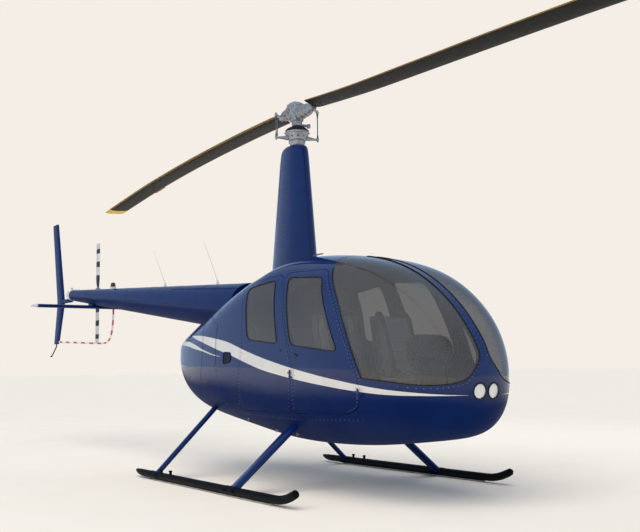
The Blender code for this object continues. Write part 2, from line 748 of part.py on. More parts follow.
def mast_fairing_mesh():
    def build(shape):
        rings = []
        for z, front, tail, half in FAIRING:
            ring = []
            for k in range(FAIRING_SIDES):
                angle = 2 * math.pi * k / FAIRING_SIDES
                c, s = math.cos(angle), math.sin(angle)
                x = front * c if c > 0 else -tail * c
                taper = s if c > 0 else math.copysign(abs(s) ** FAIRING_TAPER, s)
                ring.append(shape.verts.new(place(x, half * taper, z)))
            rings.append(ring)
        for first, second in zip(rings, rings[1:]):
            for k in range(FAIRING_SIDES):
                n = (k + 1) % FAIRING_SIDES
                shape.faces.new((first[k], first[n], second[n], second[k]))
        shape.faces.new(list(reversed(rings[0])))
        shape.faces.new(rings[-1])
        bmesh.ops.triangulate(shape, faces=shape.faces)
        bmesh.ops.recalc_face_normals(shape, faces=shape.faces)

    return mesh_from("mast_fairing", build)


def blade_drop(way, radius):
    for (r0, ahead0, behind0), (r1, ahead1, behind1) in zip(BLADE_LINE, BLADE_LINE[1:]):
        if radius <= r1:
            t = (radius - r0) / (r1 - r0)
            break
    return ahead0 + (ahead1 - ahead0) * t if way > 0 else behind0 + (behind1 - behind0) * t


def along_blade(way, radius, offset=0.0):
    # A point on a blade's line: way is 1 for the blade ahead and -1 for the one behind,
    # the offset is towards its leading edge.
    direction = Vector((math.cos(BLADE_TURN), math.sin(BLADE_TURN), 0)) * way
    leading = Vector((-direction.y, direction.x, 0))
    drop = blade_drop(way, radius)
    return place(0, 0, HUB_Z - drop) + direction * radius + leading * offset


def blade_up(way):
    # The direction square to the blade's root.
    along = (along_blade(way, BLADE_START) - along_blade(way, GRIP_START)).normalized()
    across = Vector((-along.y, along.x, 0))
    return along.cross(across).normalized()


def main_rotor():
    fairing = add_part("mast_fairing", mast_fairing_mesh(), "blue_paint")
    boolean(fairing, "DIFFERENCE", outer_space())
    bore = add_cutter("mast_bore", rod_mesh(
        "mast_bore", place(0, 0, 2.80), place(0, 0, 3.10), MAST_R + BEARING_GAP, None,
        ROUND_SIDES))
    boolean(fairing, "DIFFERENCE", bore)

    fixed_low = FAIRING_TOP + TOUCH
    fixed_high = fixed_low + FIXED_PLATE[0]
    fixed = add_part("swashplate_fixed", rod_mesh(
        "swashplate_fixed", place(0, 0, fixed_low), place(0, 0, fixed_high), FIXED_PLATE[1],
        FIXED_PLATE[2], 28),
        "grey_metal")
    boolean(fixed, "DIFFERENCE", bore)

    spin_low = fixed_high + RUNNING_GAP
    spin_high = spin_low + TURNING_PLATE[0]
    hug = add_cutter("mast_hug", rod_mesh(
        "mast_hug", place(0, 0, 2.90), place(0, 0, 3.50), MAST_R + TOUCH, None, ROUND_SIDES))
    spinning = add_part("swashplate_rotating", rod_mesh(
        "swashplate_rotating", place(0, 0, spin_low), place(0, 0, spin_high), TURNING_PLATE[1],
        TURNING_PLATE[2], 28),
        "grey_metal")
    arm_z = (spin_low + spin_high) / 2
    for label, way in (("front", 1), ("rear", -1)):
        arm = add_cutter(f"swash_arm_{label}", rod_mesh(
            "swash_arm", along_flat(way, 0.02, 0.06, arm_z), along_flat(way, 0.05, LINK_OUT, arm_z),
            0.017, 0.012, 10))
        boolean(spinning, "UNION", arm)
    boolean(spinning, "DIFFERENCE", hug)

    mast_top = HUB_Z - HUB_CAP[0]
    mast = add_part("rotor_mast", rod_mesh(
        "rotor_mast", place(0, 0, 2.81), place(0, 0, mast_top), MAST_R, None, ROUND_SIDES),
        "grey_metal")
    boot_low = spin_high + TOUCH
    boot = add_part("mast_boot", dome_mesh("mast_boot", boot_low, BOOT), "black_paint")
    boolean(boot, "DIFFERENCE", hug)

    hub = add_part("rotor_hub", rod_mesh(
        "rotor_hub", along_level(-1, GRIP_START), along_level(1, GRIP_START), HUB_R, None, 20),
        "grey_metal")
    cap = add_cutter("hub_cap", rod_mesh(
        "hub_cap", place(0, 0, mast_top + TOUCH), place(0, 0, HUB_Z + HUB_CAP[1]),
        HUB_CAP[2], HUB_CAP[3], 20))
    boolean(hub, "UNION", cap)

    for label, way in (("front", 1), ("rear", -1)):
        start = along_blade(way, GRIP_START)
        root = along_blade(way, BLADE_START)
        slope = abs((root - start).normalized().z)
        start += (root - start).normalized() * (GRIP_R * slope + TOUCH)
        grip = add_part(f"blade_grip_{label}", rod_mesh(
            "blade_grip", start, root, GRIP_R, BLADE_ROOT_R, 20), "grey_metal")
        horn_z = LINK_TOPS[way]
        horn = add_cutter(f"pitch_horn_{label}", tube_mesh("pitch_horn", bend([
            along_blade(way, 0.20), along_flat(way, 0.14, 0.13, horn_z),
            along_flat(way, 0.05, LINK_OUT, horn_z)], 0.05), HORN_R))
        boolean(grip, "UNION", horn)
        link_top = horn_z - HORN_R - 0.0005
        link_low = arm_z + 0.012 + 0.0005
        foot = along_flat(way, 0.05, LINK_OUT, link_low)
        head = along_flat(way, 0.05, LINK_OUT, link_top)
        add_part(f"pitch_link_{label}", rod_mesh("pitch_link", foot, head, LINK_R, None, 12),
                 "grey_metal")
        blade_sections = []
        for radius, lead, trail, thick in BLADE_SECTIONS:
            blade_sections.append((
                along_blade(way, radius, BLADE_CHORD * lead),
                along_blade(way, radius, -BLADE_CHORD * trail), thick, blade_up(way)))
        add_part(f"main_blade_{label}", wing_mesh("main_blade", blade_sections), "charcoal")


def along_flat(way, radius, offset, z):
    point = along_blade(way, radius, offset)
    return Vector((point.x, point.y, z))


def along_level(way, radius):
    point = along_blade(way, radius)
    return Vector((point.x, point.y, HUB_Z))


def dome_mesh(name, base, profile, segments=28):
    # A turned solid: profile pairs are height above the base and radius, bottom to top.
    def build(shape):
        rings = []
        for height, radius in profile:
            rings.append([shape.verts.new(place(
                radius * math.cos(2 * math.pi * k / segments),
                radius * math.sin(2 * math.pi * k / segments), base + height))
                for k in range(segments)])
        for first, second in zip(rings, rings[1:]):
            for k in range(segments):
                n = (k + 1) % segments
                shape.faces.new((first[k], first[n], second[n], second[k]))
        shape.faces.new(list(reversed(rings[0])))
        shape.faces.new(rings[-1])
        bmesh.ops.recalc_face_normals(shape, faces=shape.faces)

    return mesh_from(name, build)


def tail_cone():
    front, rear = CONE_FRONT, CONE_REAR
    start, end = place(front[0], 0, front[1]), place(rear[0], 0, rear[1])
    cone = add_part("tail_cone", rod_mesh(
        "tail_cone", start, end, front[2], rear[2], ROUND_SIDES), "blue_paint")
    along = (end - start).normalized()
    hollow = add_cutter("cone_hollow", rod_mesh(
        "cone_hollow", start - along * 0.01, end + along * 0.01,
        front[2] - CONE_WALL, rear[2] - CONE_WALL, ROUND_SIDES))
    boolean(cone, "DIFFERENCE", hollow)

    beacon_x, beacon_height, beacon_low_r, beacon_high_r = BEACON
    beacon_z, beacon_r = cone_point(beacon_x)
    base = place(beacon_x, 0, beacon_z + beacon_r - 0.02)
    beacon = add_part("beacon", rod_mesh(
        "beacon", base, base + Vector((0, 0, beacon_height)), beacon_low_r, beacon_high_r, 20),
        "black_paint")
    boolean(beacon, "DIFFERENCE", cone_cutter())
    for label, foot_x, top in WHIPS:
        z, r = cone_point(foot_x)
        foot = place(foot_x, 0, z + r - 0.015)
        whip = add_part(f"antenna_{label}", tube_mesh(
            "antenna", [foot, foot + Vector((-0.004, 0, 0.035)), place(*top)], WHIP_R, 2,
            [1.0, 0.5, 0.22]), "light_grey")
        boolean(whip, "DIFFERENCE", cone_cutter())


def tail_unit():
    rear = CONE_REAR
    along = (place(rear[0], 0, rear[1]) - place(CONE_FRONT[0], 0, CONE_FRONT[1])).normalized()
    gear_start = place(rear[0], 0, rear[1]) + along * TOUCH
    gear_end = gear_start + along * GEARBOX[0]
    gearbox = add_part("tail_gearbox", rod_mesh(
        "tail_gearbox", gear_start, gear_end, rear[2], GEARBOX[1], 24), "light_grey")
    output = place(TAIL_ROTOR[0], 0, TAIL_ROTOR[2])
    housing = add_cutter("gearbox_output", rod_mesh(
        "gearbox_output", output, Vector((output.x, OUTPUT_FACE_Y, output.z)), 0.052, 0.038, 20))
    boolean(gearbox, "UNION", housing)

    centre = place(*TAIL_ROTOR)
    hub = add_part("tail_rotor_hub", rod_mesh(
        "tail_rotor_hub", Vector((output.x, OUTPUT_FACE_Y + 0.0005, output.z)),
        centre + Vector((0, 0.040, 0)), 0.020, None, 20), "grey_metal")
    yoke = add_cutter("tail_yoke", rod_mesh(
        "tail_yoke", centre - Vector((0, 0, YOKE_HALF)), centre + Vector((0, 0, YOKE_HALF)), 0.030,
        None, 14))
    boolean(hub, "UNION", yoke)
    for label, way in (("upper", 1), ("lower", -1)):
        sections = []
        for radius, chord, thick in TAIL_SECTIONS:
            middle = centre + Vector((0, 0, way * radius))
            sections.append((middle + Vector((way * chord * 0.5, 0, 0)),
                             middle - Vector((way * chord * 0.5, 0, 0)), thick, (0, 1, 0)))
        blade = add_part(f"tail_blade_{label}", wing_mesh("tail_blade", sections, 4), "light_grey")
        set_origin(blade, centre)
    set_origin(hub, centre)

    fin = []
    for z, lead, trail, thick in FIN:
        fin.append((place(lead, 0, z), place(trail, 0, z), thick, (0, 1, 0)))
    add_part("tail_fin", wing_mesh("tail_fin", fin), "blue_paint")
    fin_tool = add_cutter("fin_tool", wing_mesh("fin_tool", [
        (lead + Vector((TOUCH, 0, 0)), trail, thick + 2 * TOUCH, side)
        for lead, trail, thick, side in fin]))
    bracket = add_part("fin_bracket", box_mesh(
        "fin_bracket", (-6.30, -BRACKET_Y, BRACKET_Z[0]), (-5.9853, BRACKET_Y, BRACKET_Z[1])),
        "blue_paint")
    boolean(bracket, "DIFFERENCE", fin_tool)
    gear_tool = add_cutter("gear_tool", rod_mesh(
        "gear_tool", gear_start, gear_end, rear[2] + TOUCH, GEARBOX[1] + TOUCH, 24))
    bracket_root = add_cutter("bracket_root", box_mesh(
        "bracket_root", (-5.99, -BRACKET_Y, BRACKET_Z[0]), (-5.87, BRACKET_Y, BRACKET_Z[1])))
    boolean(bracket, "UNION", bracket_root)
    boolean(bracket, "DIFFERENCE", gear_tool)

    add_part("tail_skid", tube_mesh(
        "tail_skid", bend([place(*p) for p in TAIL_SKID], 0.04), TAIL_SKID_R), "black_paint")

    half = STABILIZER_CHORD / 2
    ends = []
    for y, share in ((-STABILIZER_SPAN, 0.86), (-STABILIZER_SPAN + 0.03, 1.0),
                     (STABILIZER_SPAN - 0.03, 1.0), (STABILIZER_SPAN, 0.86)):
        ends.append((place(STABILIZER_X + half * share, y, STABILIZER_Z),
                     place(STABILIZER_X - half * share, y, STABILIZER_Z),
                     STABILIZER_THICK * share, (0, 0, 1)))
    plane = add_part("stabilizer", wing_mesh("stabilizer", ends), "blue_paint")
    saddle = add_cutter("stabilizer_saddle", box_mesh(
        "stabilizer_saddle", (STABILIZER_X - 0.09, -0.045, STABILIZER_Z),
        (STABILIZER_X + 0.09, 0.045, STABILIZER_Z + 0.09)))
    boolean(plane, "UNION", saddle)
    boolean(plane, "DIFFERENCE", cone_cutter())

    add_part("tail_guard", tube_mesh(
        "tail_guard", bend([place(*p) for p in GUARD], GUARD_BEND, 6), GUARD_R), "red_white")


def skids():
    for side_name, side in SIDES:
        y = side * SKID_Y
        add_part(f"skid_{side_name}", tube_mesh(
            "skid", [place(x, y, z) for x, z in RAIL], SKID_R, 3, RAIL_FAT), "black_paint")
        add_part(f"skid_shoe_{side_name}", box_mesh(
            "skid_shoe", (SHOE_REAR, y - SHOE_HALF, 0), (SHOE_FRONT, y + SHOE_HALF, SHOE_TOP)),
            "black_paint")
        rod = add_cutter(f"skid_tool_{side_name}", rod_mesh(
            "skid_tool", place(-0.96, y, SKID_Z), place(1.26, y, SKID_Z), SKID_R + TOUCH))
        for leg_name, foot_x, top_x, top_y, top_z, chord, thick in LEGS:
            inward = Vector((0, -side * 0.55, 0.50)).normalized()
            across = Vector((0, inward.z, -inward.y))
            foot = place(foot_x, side * LEG_FOOT[0], LEG_FOOT[1])
            top = place(top_x, side * top_y, top_z)
            sections = []
            for point in (foot, top):
                sections.append((point + Vector((chord * 0.45, 0, 0)),
                                 point - Vector((chord * 0.55, 0, 0)), thick, across))
            leg = add_part(f"leg_{leg_name}_{side_name}", wing_mesh("leg", sections), "blue_paint")
            boolean(leg, "DIFFERENCE", rod)
            boolean(leg, "DIFFERENCE", outer_space())


def small_fittings():
    face = skin_offset("lamp_face", -LAMP_SUNK)
    for side_name, side in SIDES:
        lamp = add_part(f"landing_light_{side_name}", rod_mesh(
            "landing_light", place(2.290, side * LAMP_Y, LAMP_Z),
            place(2.500, side * LAMP_Y, LAMP_Z), LAMP_R), "lamp_glass")
        boolean(lamp, "INTERSECT", face)
    add_part("pitot_tube", tube_mesh(
        "pitot_tube", [place(*p) for p in PITOT], PITOT_R), "grey_metal")


fuselage()
cabin_inside()
main_rotor()
tail_cone()
tail_unit()
skids()
small_fittings()
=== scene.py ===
import json
import math
from functools import partial

import bmesh
import bpy
import numpy as np
from mathutils import Matrix, Vector


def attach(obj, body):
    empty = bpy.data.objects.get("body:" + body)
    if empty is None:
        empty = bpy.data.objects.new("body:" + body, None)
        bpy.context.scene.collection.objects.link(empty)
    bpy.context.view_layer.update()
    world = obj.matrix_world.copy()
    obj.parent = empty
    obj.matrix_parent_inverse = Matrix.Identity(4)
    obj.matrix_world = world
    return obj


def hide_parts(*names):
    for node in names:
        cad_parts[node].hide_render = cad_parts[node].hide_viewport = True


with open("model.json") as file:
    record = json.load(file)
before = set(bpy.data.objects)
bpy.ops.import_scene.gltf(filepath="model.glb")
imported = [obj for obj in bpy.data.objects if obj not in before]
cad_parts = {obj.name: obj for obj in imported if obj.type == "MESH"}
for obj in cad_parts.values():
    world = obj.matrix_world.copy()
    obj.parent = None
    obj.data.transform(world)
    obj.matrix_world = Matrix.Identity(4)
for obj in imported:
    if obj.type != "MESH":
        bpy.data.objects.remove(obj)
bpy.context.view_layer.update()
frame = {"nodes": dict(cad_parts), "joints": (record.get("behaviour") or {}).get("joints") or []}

mastX = next(j["pos_m"][0] for j in frame["joints"] if j["name"] == "main_rotor_spin")
mastFoot = np.array([mastX, 0, 0])
toFront, toPort, up = np.eye(3)
scene = bpy.context.scene
starboard, port = -1, 1
sides = (("left", port), ("right", starboard))


def quads(rows, cols, wrap=False):
    # Quads of a rows x cols grid of points, the columns closed into rings if wrapped.
    r, c = np.meshgrid(np.arange(rows - 1), np.arange(cols if wrap else cols - 1), indexing="ij")
    nextC = (c + 1) % cols
    corners = [r * cols + c, (r + 1) * cols + c, (r + 1) * cols + nextC, r * cols + nextC]
    return np.stack(corners, -1).reshape(-1, 4).tolist()


def makePiece(name, points, faces, closed=True, angle=32.0):
    # A mesh object from arrays; doubles merge at the poles and a closed one faces out.
    mesh = bpy.data.meshes.new(name)
    mesh.from_pydata(np.asarray(points, float).reshape(-1, 3).tolist(), [],
        [list(f) for f in faces])
    work = bmesh.new()
    work.from_mesh(mesh)
    bmesh.ops.remove_doubles(work, verts=work.verts, dist=1e-6)
    if closed:
        bmesh.ops.recalc_face_normals(work, faces=work.faces)
    work.to_mesh(mesh)
    work.free()
    mesh.shade_smooth()
    mesh.set_sharp_from_angle(angle=math.radians(angle))
    piece = bpy.data.objects.new(name, mesh)
    scene.collection.objects.link(piece)
    return piece


def merged(name, parts, angle=32.0):
    # Several (points, faces) shapes in one mesh, each closed by itself.
    points, faces, start = [], [], 0
    for p, f in parts:
        p = np.asarray(p, float).reshape(-1, 3)
        points.append(p)
        faces += [[int(i) + start for i in face] for face in f]
        start += len(p)
    return makePiece(name, np.concatenate(points), faces, angle=angle)


def finished(piece, body, finish, replaces=()):
    # The piece gets its material, rides its body and stands for CAD nodes.
    piece.data.materials.clear()
    piece.data.materials.append(finishes[finish][0])
    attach(piece, body)
    if replaces:
        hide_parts(*replaces)
    return piece


def build(name, parts, body, finish, *replaces, angle=32.0):
    return finished(merged(name, parts, angle), body, finish, replaces)


def applied(piece):
    # The piece's modifiers are worked out into its mesh.
    graph = bpy.context.evaluated_depsgraph_get()
    piece.data = bpy.data.meshes.new_from_object(piece.evaluated_get(graph))
    piece.modifiers.clear()
    return piece


def gathered(items, key, wide=1, kind=float):
    # One value of every vertex, face or corner of a mesh, as an array.
    values = np.empty(len(items) * wide, kind)
    items.foreach_get(key, values)
    return values.reshape(-1, wide) if wide > 1 else values


def axes(direction):
    # Two unit vectors square to a direction, as a 3 x 3 matrix whose last row is the direction.
    d = np.asarray(direction, float)
    d = d / np.linalg.norm(d)
    a = np.cross(up if abs(d[2]) < 0.9 else [1.0, 0, 0], d)
    a /= np.linalg.norm(a)
    return np.stack([a, np.cross(d, a), d])


def loft(rings, ends=True):
    # Closed rings of points joined in order, both ends filled.
    rings = np.asarray(rings, float)
    rows, count = rings.shape[:2]
    faces = quads(rows, count, True)
    if ends:
        faces += [range(count), range((rows - 1) * count, rows * count)]
    return rings.reshape(-1, 3), faces


def circle(count):
    # The cosines and sines of evenly spaced angles.
    t = np.arange(count) * 2 * np.pi / count
    return np.cos(t), np.sin(t)


def squarish(count, power):
    # c = |cos t|^power and s = |sin t|^power with their signs: a small power squares the ring.
    return [np.sign(v) * np.abs(v) ** power for v in circle(count)]


def spokes(count, first, a, b):
    # Evenly spaced directions a cos t + b sin t, the first one at an angle in degrees.
    for k in range(count):
        t = math.radians(first + 360 / count * k)
        yield a * math.cos(t) + b * math.sin(t)


def turned(start, direction, profile, count=40, loop=False):
    # A lathe shape: point = start + h * d + r * (a cos t + b sin t) for profile pairs (h, r).
    # The ends are closed on the axis, or a loop is closed on itself and leaves a bore.
    a, b, d = axes(direction)
    h, r = np.array(profile, float).T
    if loop:
        h, r = np.append(h, h[0]), np.append(r, r[0])
    else:
        if r[0] > 0:
            h, r = np.append(h[0], h), np.append(0, r)
        if r[-1] > 0:
            h, r = np.append(h, h[-1]), np.append(r, 0)
    c, s = circle(count)
    ring = c[:, None] * a + s[:, None] * b
    points = np.asarray(start, float) + h[:, None, None] * d + r[:, None, None] * ring
    return loft(points, False)


def between(at, x, table):
    # The table's columns read off at places between its rows.
    return np.stack([np.interp(at, x, table[:, k]) for k in range(table.shape[1])], -1)


def lengths(p):
    # Distance along a line of points.
    return np.concatenate([[0], np.cumsum(np.linalg.norm(np.diff(p, axis=0), axis=1))])


def catmull(a, b, c, d, t):
    return 0.5 * (2 * b + (c - a) * t + (2 * a - 5 * b + 4 * c - d) * t ** 2
        + (3 * b - a - 3 * c + d) * t ** 3)


def curveThrough(points, count):
    # A Catmull-Rom curve through the points, sampled evenly along its length.
    p = np.asarray(points, float)
    q = np.vstack([2 * p[0] - p[1], p, 2 * p[-1] - p[-2]])
    t = np.linspace(0, 1, 24, endpoint=False)[:, None]
    fine = np.vstack([catmull(*q[k:k + 4], t) for k in range(len(p) - 1)] + [p[-1:]])
    s = lengths(fine)
    return between(np.linspace(0, s[-1], count), s, fine)


def tube(path, radius, count=20, closed=False, flat=1.0):
    # A ring of radius r carried along a path: p + r (n cos t + flat m sin t), n kept untwisted.
    p = np.asarray(path, float)
    r = np.broadcast_to(np.asarray(radius, float), (len(p),))
    along = np.roll(p, -1, 0) - np.roll(p, 1, 0) if closed else np.gradient(p, axis=0)
    along /= np.linalg.norm(along, axis=1)[:, None]
    n = axes(along[0])[0]
    first = []
    for d in along:
        n = n - d * np.dot(n, d)
        n = n / np.linalg.norm(n)
        first.append(n)
    first = np.array(first)
    second = np.cross(along, first)
    c, s = circle(count)
    ring = c[None, :, None] * first[:, None] + flat * s[None, :, None] * second[:, None]
    points = p[:, None] + r[:, None, None] * ring
    if closed:
        return loft(np.concatenate([points, points[:1]]), False)
    return loft(points)


def pebble(centre, half, square=0.3, turn=None, count=28):
    # A superellipsoid: x = a |cos v|^e |cos u|^e and so on; a small e gives a soft-cornered block.
    v = np.linspace(-np.pi / 2, np.pi / 2, count // 2 + 1)
    power = lambda value: np.sign(value) * np.abs(value) ** square
    cu, su = squarish(count, square)
    x = power(np.cos(v))[:, None] * cu[None]
    y = power(np.cos(v))[:, None] * su[None]
    z = power(np.sin(v))[:, None] * np.ones(count)[None]
    points = np.stack([x, y, z], -1) * np.asarray(half, float)
    if turn is not None:
        points = points @ np.array(turn).T
    return loft(points + np.asarray(centre, float), False)


def stamps(template, faces, points, normals):
    # One small shape set at every point, its z along that point's normal.
    n = np.asarray(normals, float)
    a = np.cross(np.where(np.abs(n[:, 2:3]) < 0.9, [[0.0, 0, 1]], [[1.0, 0, 0]]), n)
    a /= np.linalg.norm(a, axis=1)[:, None]
    b = np.cross(n, a)
    t = np.asarray(template, float)
    p = (np.asarray(points, float)[:, None] + t[None, :, :1] * a[:, None] + t[None, :, 1:2]
        * b[:, None] + t[None, :, 2:] * n[:, None])
    f = np.asarray(faces)[None] + (np.arange(len(n)) * len(t))[:, None, None]
    return p.reshape(-1, 3), f.reshape(-1, f.shape[-1])


def rounded(points, radius, steps=8):
    # Each corner of an outline becomes a short curve that starts and ends one radius from it.
    p = np.asarray(points, float)
    back, ahead = np.roll(p, 1, 0) - p, np.roll(p, -1, 0) - p
    lb, la = np.linalg.norm(back, axis=1), np.linalg.norm(ahead, axis=1)
    reach = np.minimum(np.minimum(radius, 0.45 * lb), np.minimum(radius, 0.45 * la))
    start = p + back / lb[:, None] * reach[:, None]
    end = p + ahead / la[:, None] * reach[:, None]
    t = np.linspace(0, 1, steps + 1)[None, :, None]
    curve = start[:, None] * (1 - t) ** 2 + p[:, None] * 2 * t * (1 - t) + end[:, None] * t * t
    return curve.reshape(-1, 2)


def inset(points, distance):
    # Every side of an outline moves inwards by one distance.
    p = np.asarray(points, float)
    q = np.roll(p, -1, 0)
    turn = np.sign(np.sum(p[:, 0] * q[:, 1] - q[:, 0] * p[:, 1]))
    into, away = p - np.roll(p, 1, 0), q - p
    into /= np.linalg.norm(into, axis=1)[:, None]
    away /= np.linalg.norm(away, axis=1)[:, None]
    corner = turn * (np.column_stack([-into[:, 1], into[:, 0]])
        + np.column_stack([-away[:, 1], away[:, 0]]))
    return p + corner * (2 * distance / np.sum(corner ** 2, axis=1))[:, None]


def prism(outline, axis, low, high):
    # A closed outline pushed through along X or Y; the outline is (y, z) or (x, z).
    o = np.asarray(outline, float)
    rings = []
    for level in (low, high):
        fill = np.full(len(o), level)
        rings.append(np.column_stack([o[:, 0] + mastX, fill, o[:, 1]] if axis == "Y"
            else [fill + mastX, o[:, 0], o[:, 1]]))
    return loft(rings)


def carve(piece, operation, tool):
    # The exact Boolean is worked out at once and the tool goes.
    step = piece.modifiers.new("carve", "BOOLEAN")
    step.operation, step.solver, step.object = operation, "EXACT", tool
    applied(piece)
    bpy.data.objects.remove(tool)
    return piece


def mirrored(piece, name):
    # A copy on the other side of the middle plane, with its faces turned back out.
    mesh = piece.data.copy()
    mesh.transform(Matrix.Scale(-1, 4, (0, 1, 0)))
    mesh.flip_normals()
    copy = bpy.data.objects.new(name, mesh)
    scene.collection.objects.link(copy)
    return copy


def linear(hexColour):
    # A hex sRGB colour turned linear.
    value = [int(hexColour[k:k + 2], 16) / 255 for k in (1, 3, 5)]
    return (*[v / 12.92 if v <= 0.04045 else ((v + 0.055) / 1.055) ** 2.4 for v in value], 1.0)


def addNode(tree, kind, inputs=None, out=0, stops=(), **settings):
    # Adds a node, sets its properties and its colour stops, links or fills its sockets, and
    # gives back one of its outputs.
    node = tree.nodes.new("ShaderNode" + kind)
    for key, value in settings.items():
        setattr(node, key, value)
    for socket, value in (inputs or {}).items():
        if isinstance(value, bpy.types.NodeSocket):
            tree.links.new(value, node.inputs[socket])
        else:
            node.inputs[socket].default_value = value
    for k, (place, colour) in enumerate(stops):
        marks = node.color_ramp.elements
        mark = marks[k] if k < len(marks) else marks.new(place)
        mark.position, mark.color = place, linear(colour)
    return node.outputs[out]


def newMaterial(name, **values):
    # A Principled material; values are its own sockets, underscores for spaces. With it come
    # its addNode, and a function that links an output to a socket of the shader.
    made = bpy.data.materials.new(name)
    made.use_nodes = True
    tree = made.node_tree
    shader = tree.nodes["Principled BSDF"]
    for key, value in values.items():
        shader.inputs[key.replace("_", " ")].default_value = value
    return made, partial(addNode, tree), lambda out, name: tree.links.new(out, shader.inputs[name])


def curveOf(add, value, low, high, points, bottom, top):
    # A drawn curve z(x): x from low to high and z from bottom to top, through the points.
    span = add("MapRange", {"Value": value, "From Min": low, "From Max": high})
    share = add("FloatCurve", {"Value": span})
    mapping = share.node.mapping
    line = mapping.curves[0]
    pairs = [((x - low) / (high - low), (z - bottom) / (top - bottom)) for x, z in sorted(points)]
    line.points[0].location = pairs[0]
    line.points[1].location = pairs[-1]
    for pair in pairs[1:-1]:
        line.points.new(*pair)
    mapping.update()
    return add("MapRange", {"Value": share, "To Min": bottom, "To Max": top})


stripe = {
    "low": -1.11,
    "high": 2.35,
    "top": [(-1.11, 1.306), (-0.968, 1.302), (-0.807, 1.296), (-0.547, 1.27), (-0.352, 1.246),
        (-0.193, 1.219), (-0.043, 1.182), (0.1, 1.144), (0.369, 1.079), (0.621, 1.027),
        (0.857, 0.983), (1.076, 0.946), (1.277, 0.913), (1.461, 0.886), (1.628, 0.861),
        (1.78, 0.84), (1.918, 0.823), (2.04, 0.8115), (2.146, 0.802), (2.233, 0.794),
        (2.302, 0.788), (2.35, 0.784)],
    "bottom": [(-1.11, 1.305), (-0.949, 1.272), (-0.793, 1.243), (-0.662, 1.215),
        (-0.544, 1.19), (-0.434, 1.165), (-0.351, 1.147), (-0.193, 1.117), (-0.043, 1.079),
        (0.1, 1.042), (0.236, 1.009), (0.368, 0.979), (0.618, 0.936), (0.852, 0.902),
        (1.069, 0.873), (1.27, 0.849), (1.453, 0.828), (1.621, 0.811), (1.773, 0.797),
        (1.912, 0.788), (2.036, 0.784), (2.143, 0.783), (2.231, 0.782), (2.35, 0.783)],
    "swooshTop": [(-1.56, 1.24), (-1.478, 1.256), (-1.252, 1.258), (-0.995, 1.226),
        (-0.722, 1.163), (-0.484, 1.115), (-0.301, 1.09)],
    "swooshBottom": [(-1.56, 1.236), (-1.49, 1.228), (-1.184, 1.207), (-0.968, 1.178),
        (-0.722, 1.146), (-0.484, 1.107), (-0.301, 1.091)],
}


def bandMask(add, x, z, low, high, top, bottom):
    # 1 where the height lies between two drawn curves and the distance between its ends.
    upper, lower = (curveOf(add, x, low, high, line, 0.7, 1.4) for line in (top, bottom))
    mask = add("Math", {0: z, 1: upper}, operation="LESS_THAN")
    for value, limit, test in ((z, lower, "GREATER_THAN"), (x, low, "GREATER_THAN"),
            (x, high, "LESS_THAN")):
        part = add("Math", {0: value, 1: limit}, operation=test)
        mask = add("Math", {0: mask, 1: part}, operation="MULTIPLY")
    return mask


# The paint's own blue, and a darker blue that is painted shade on the faces that look down.
paintTone = {"light": "#031d4e", "lighter": "#052358", "deep": "#021b4d", "deeper": "#042055"}


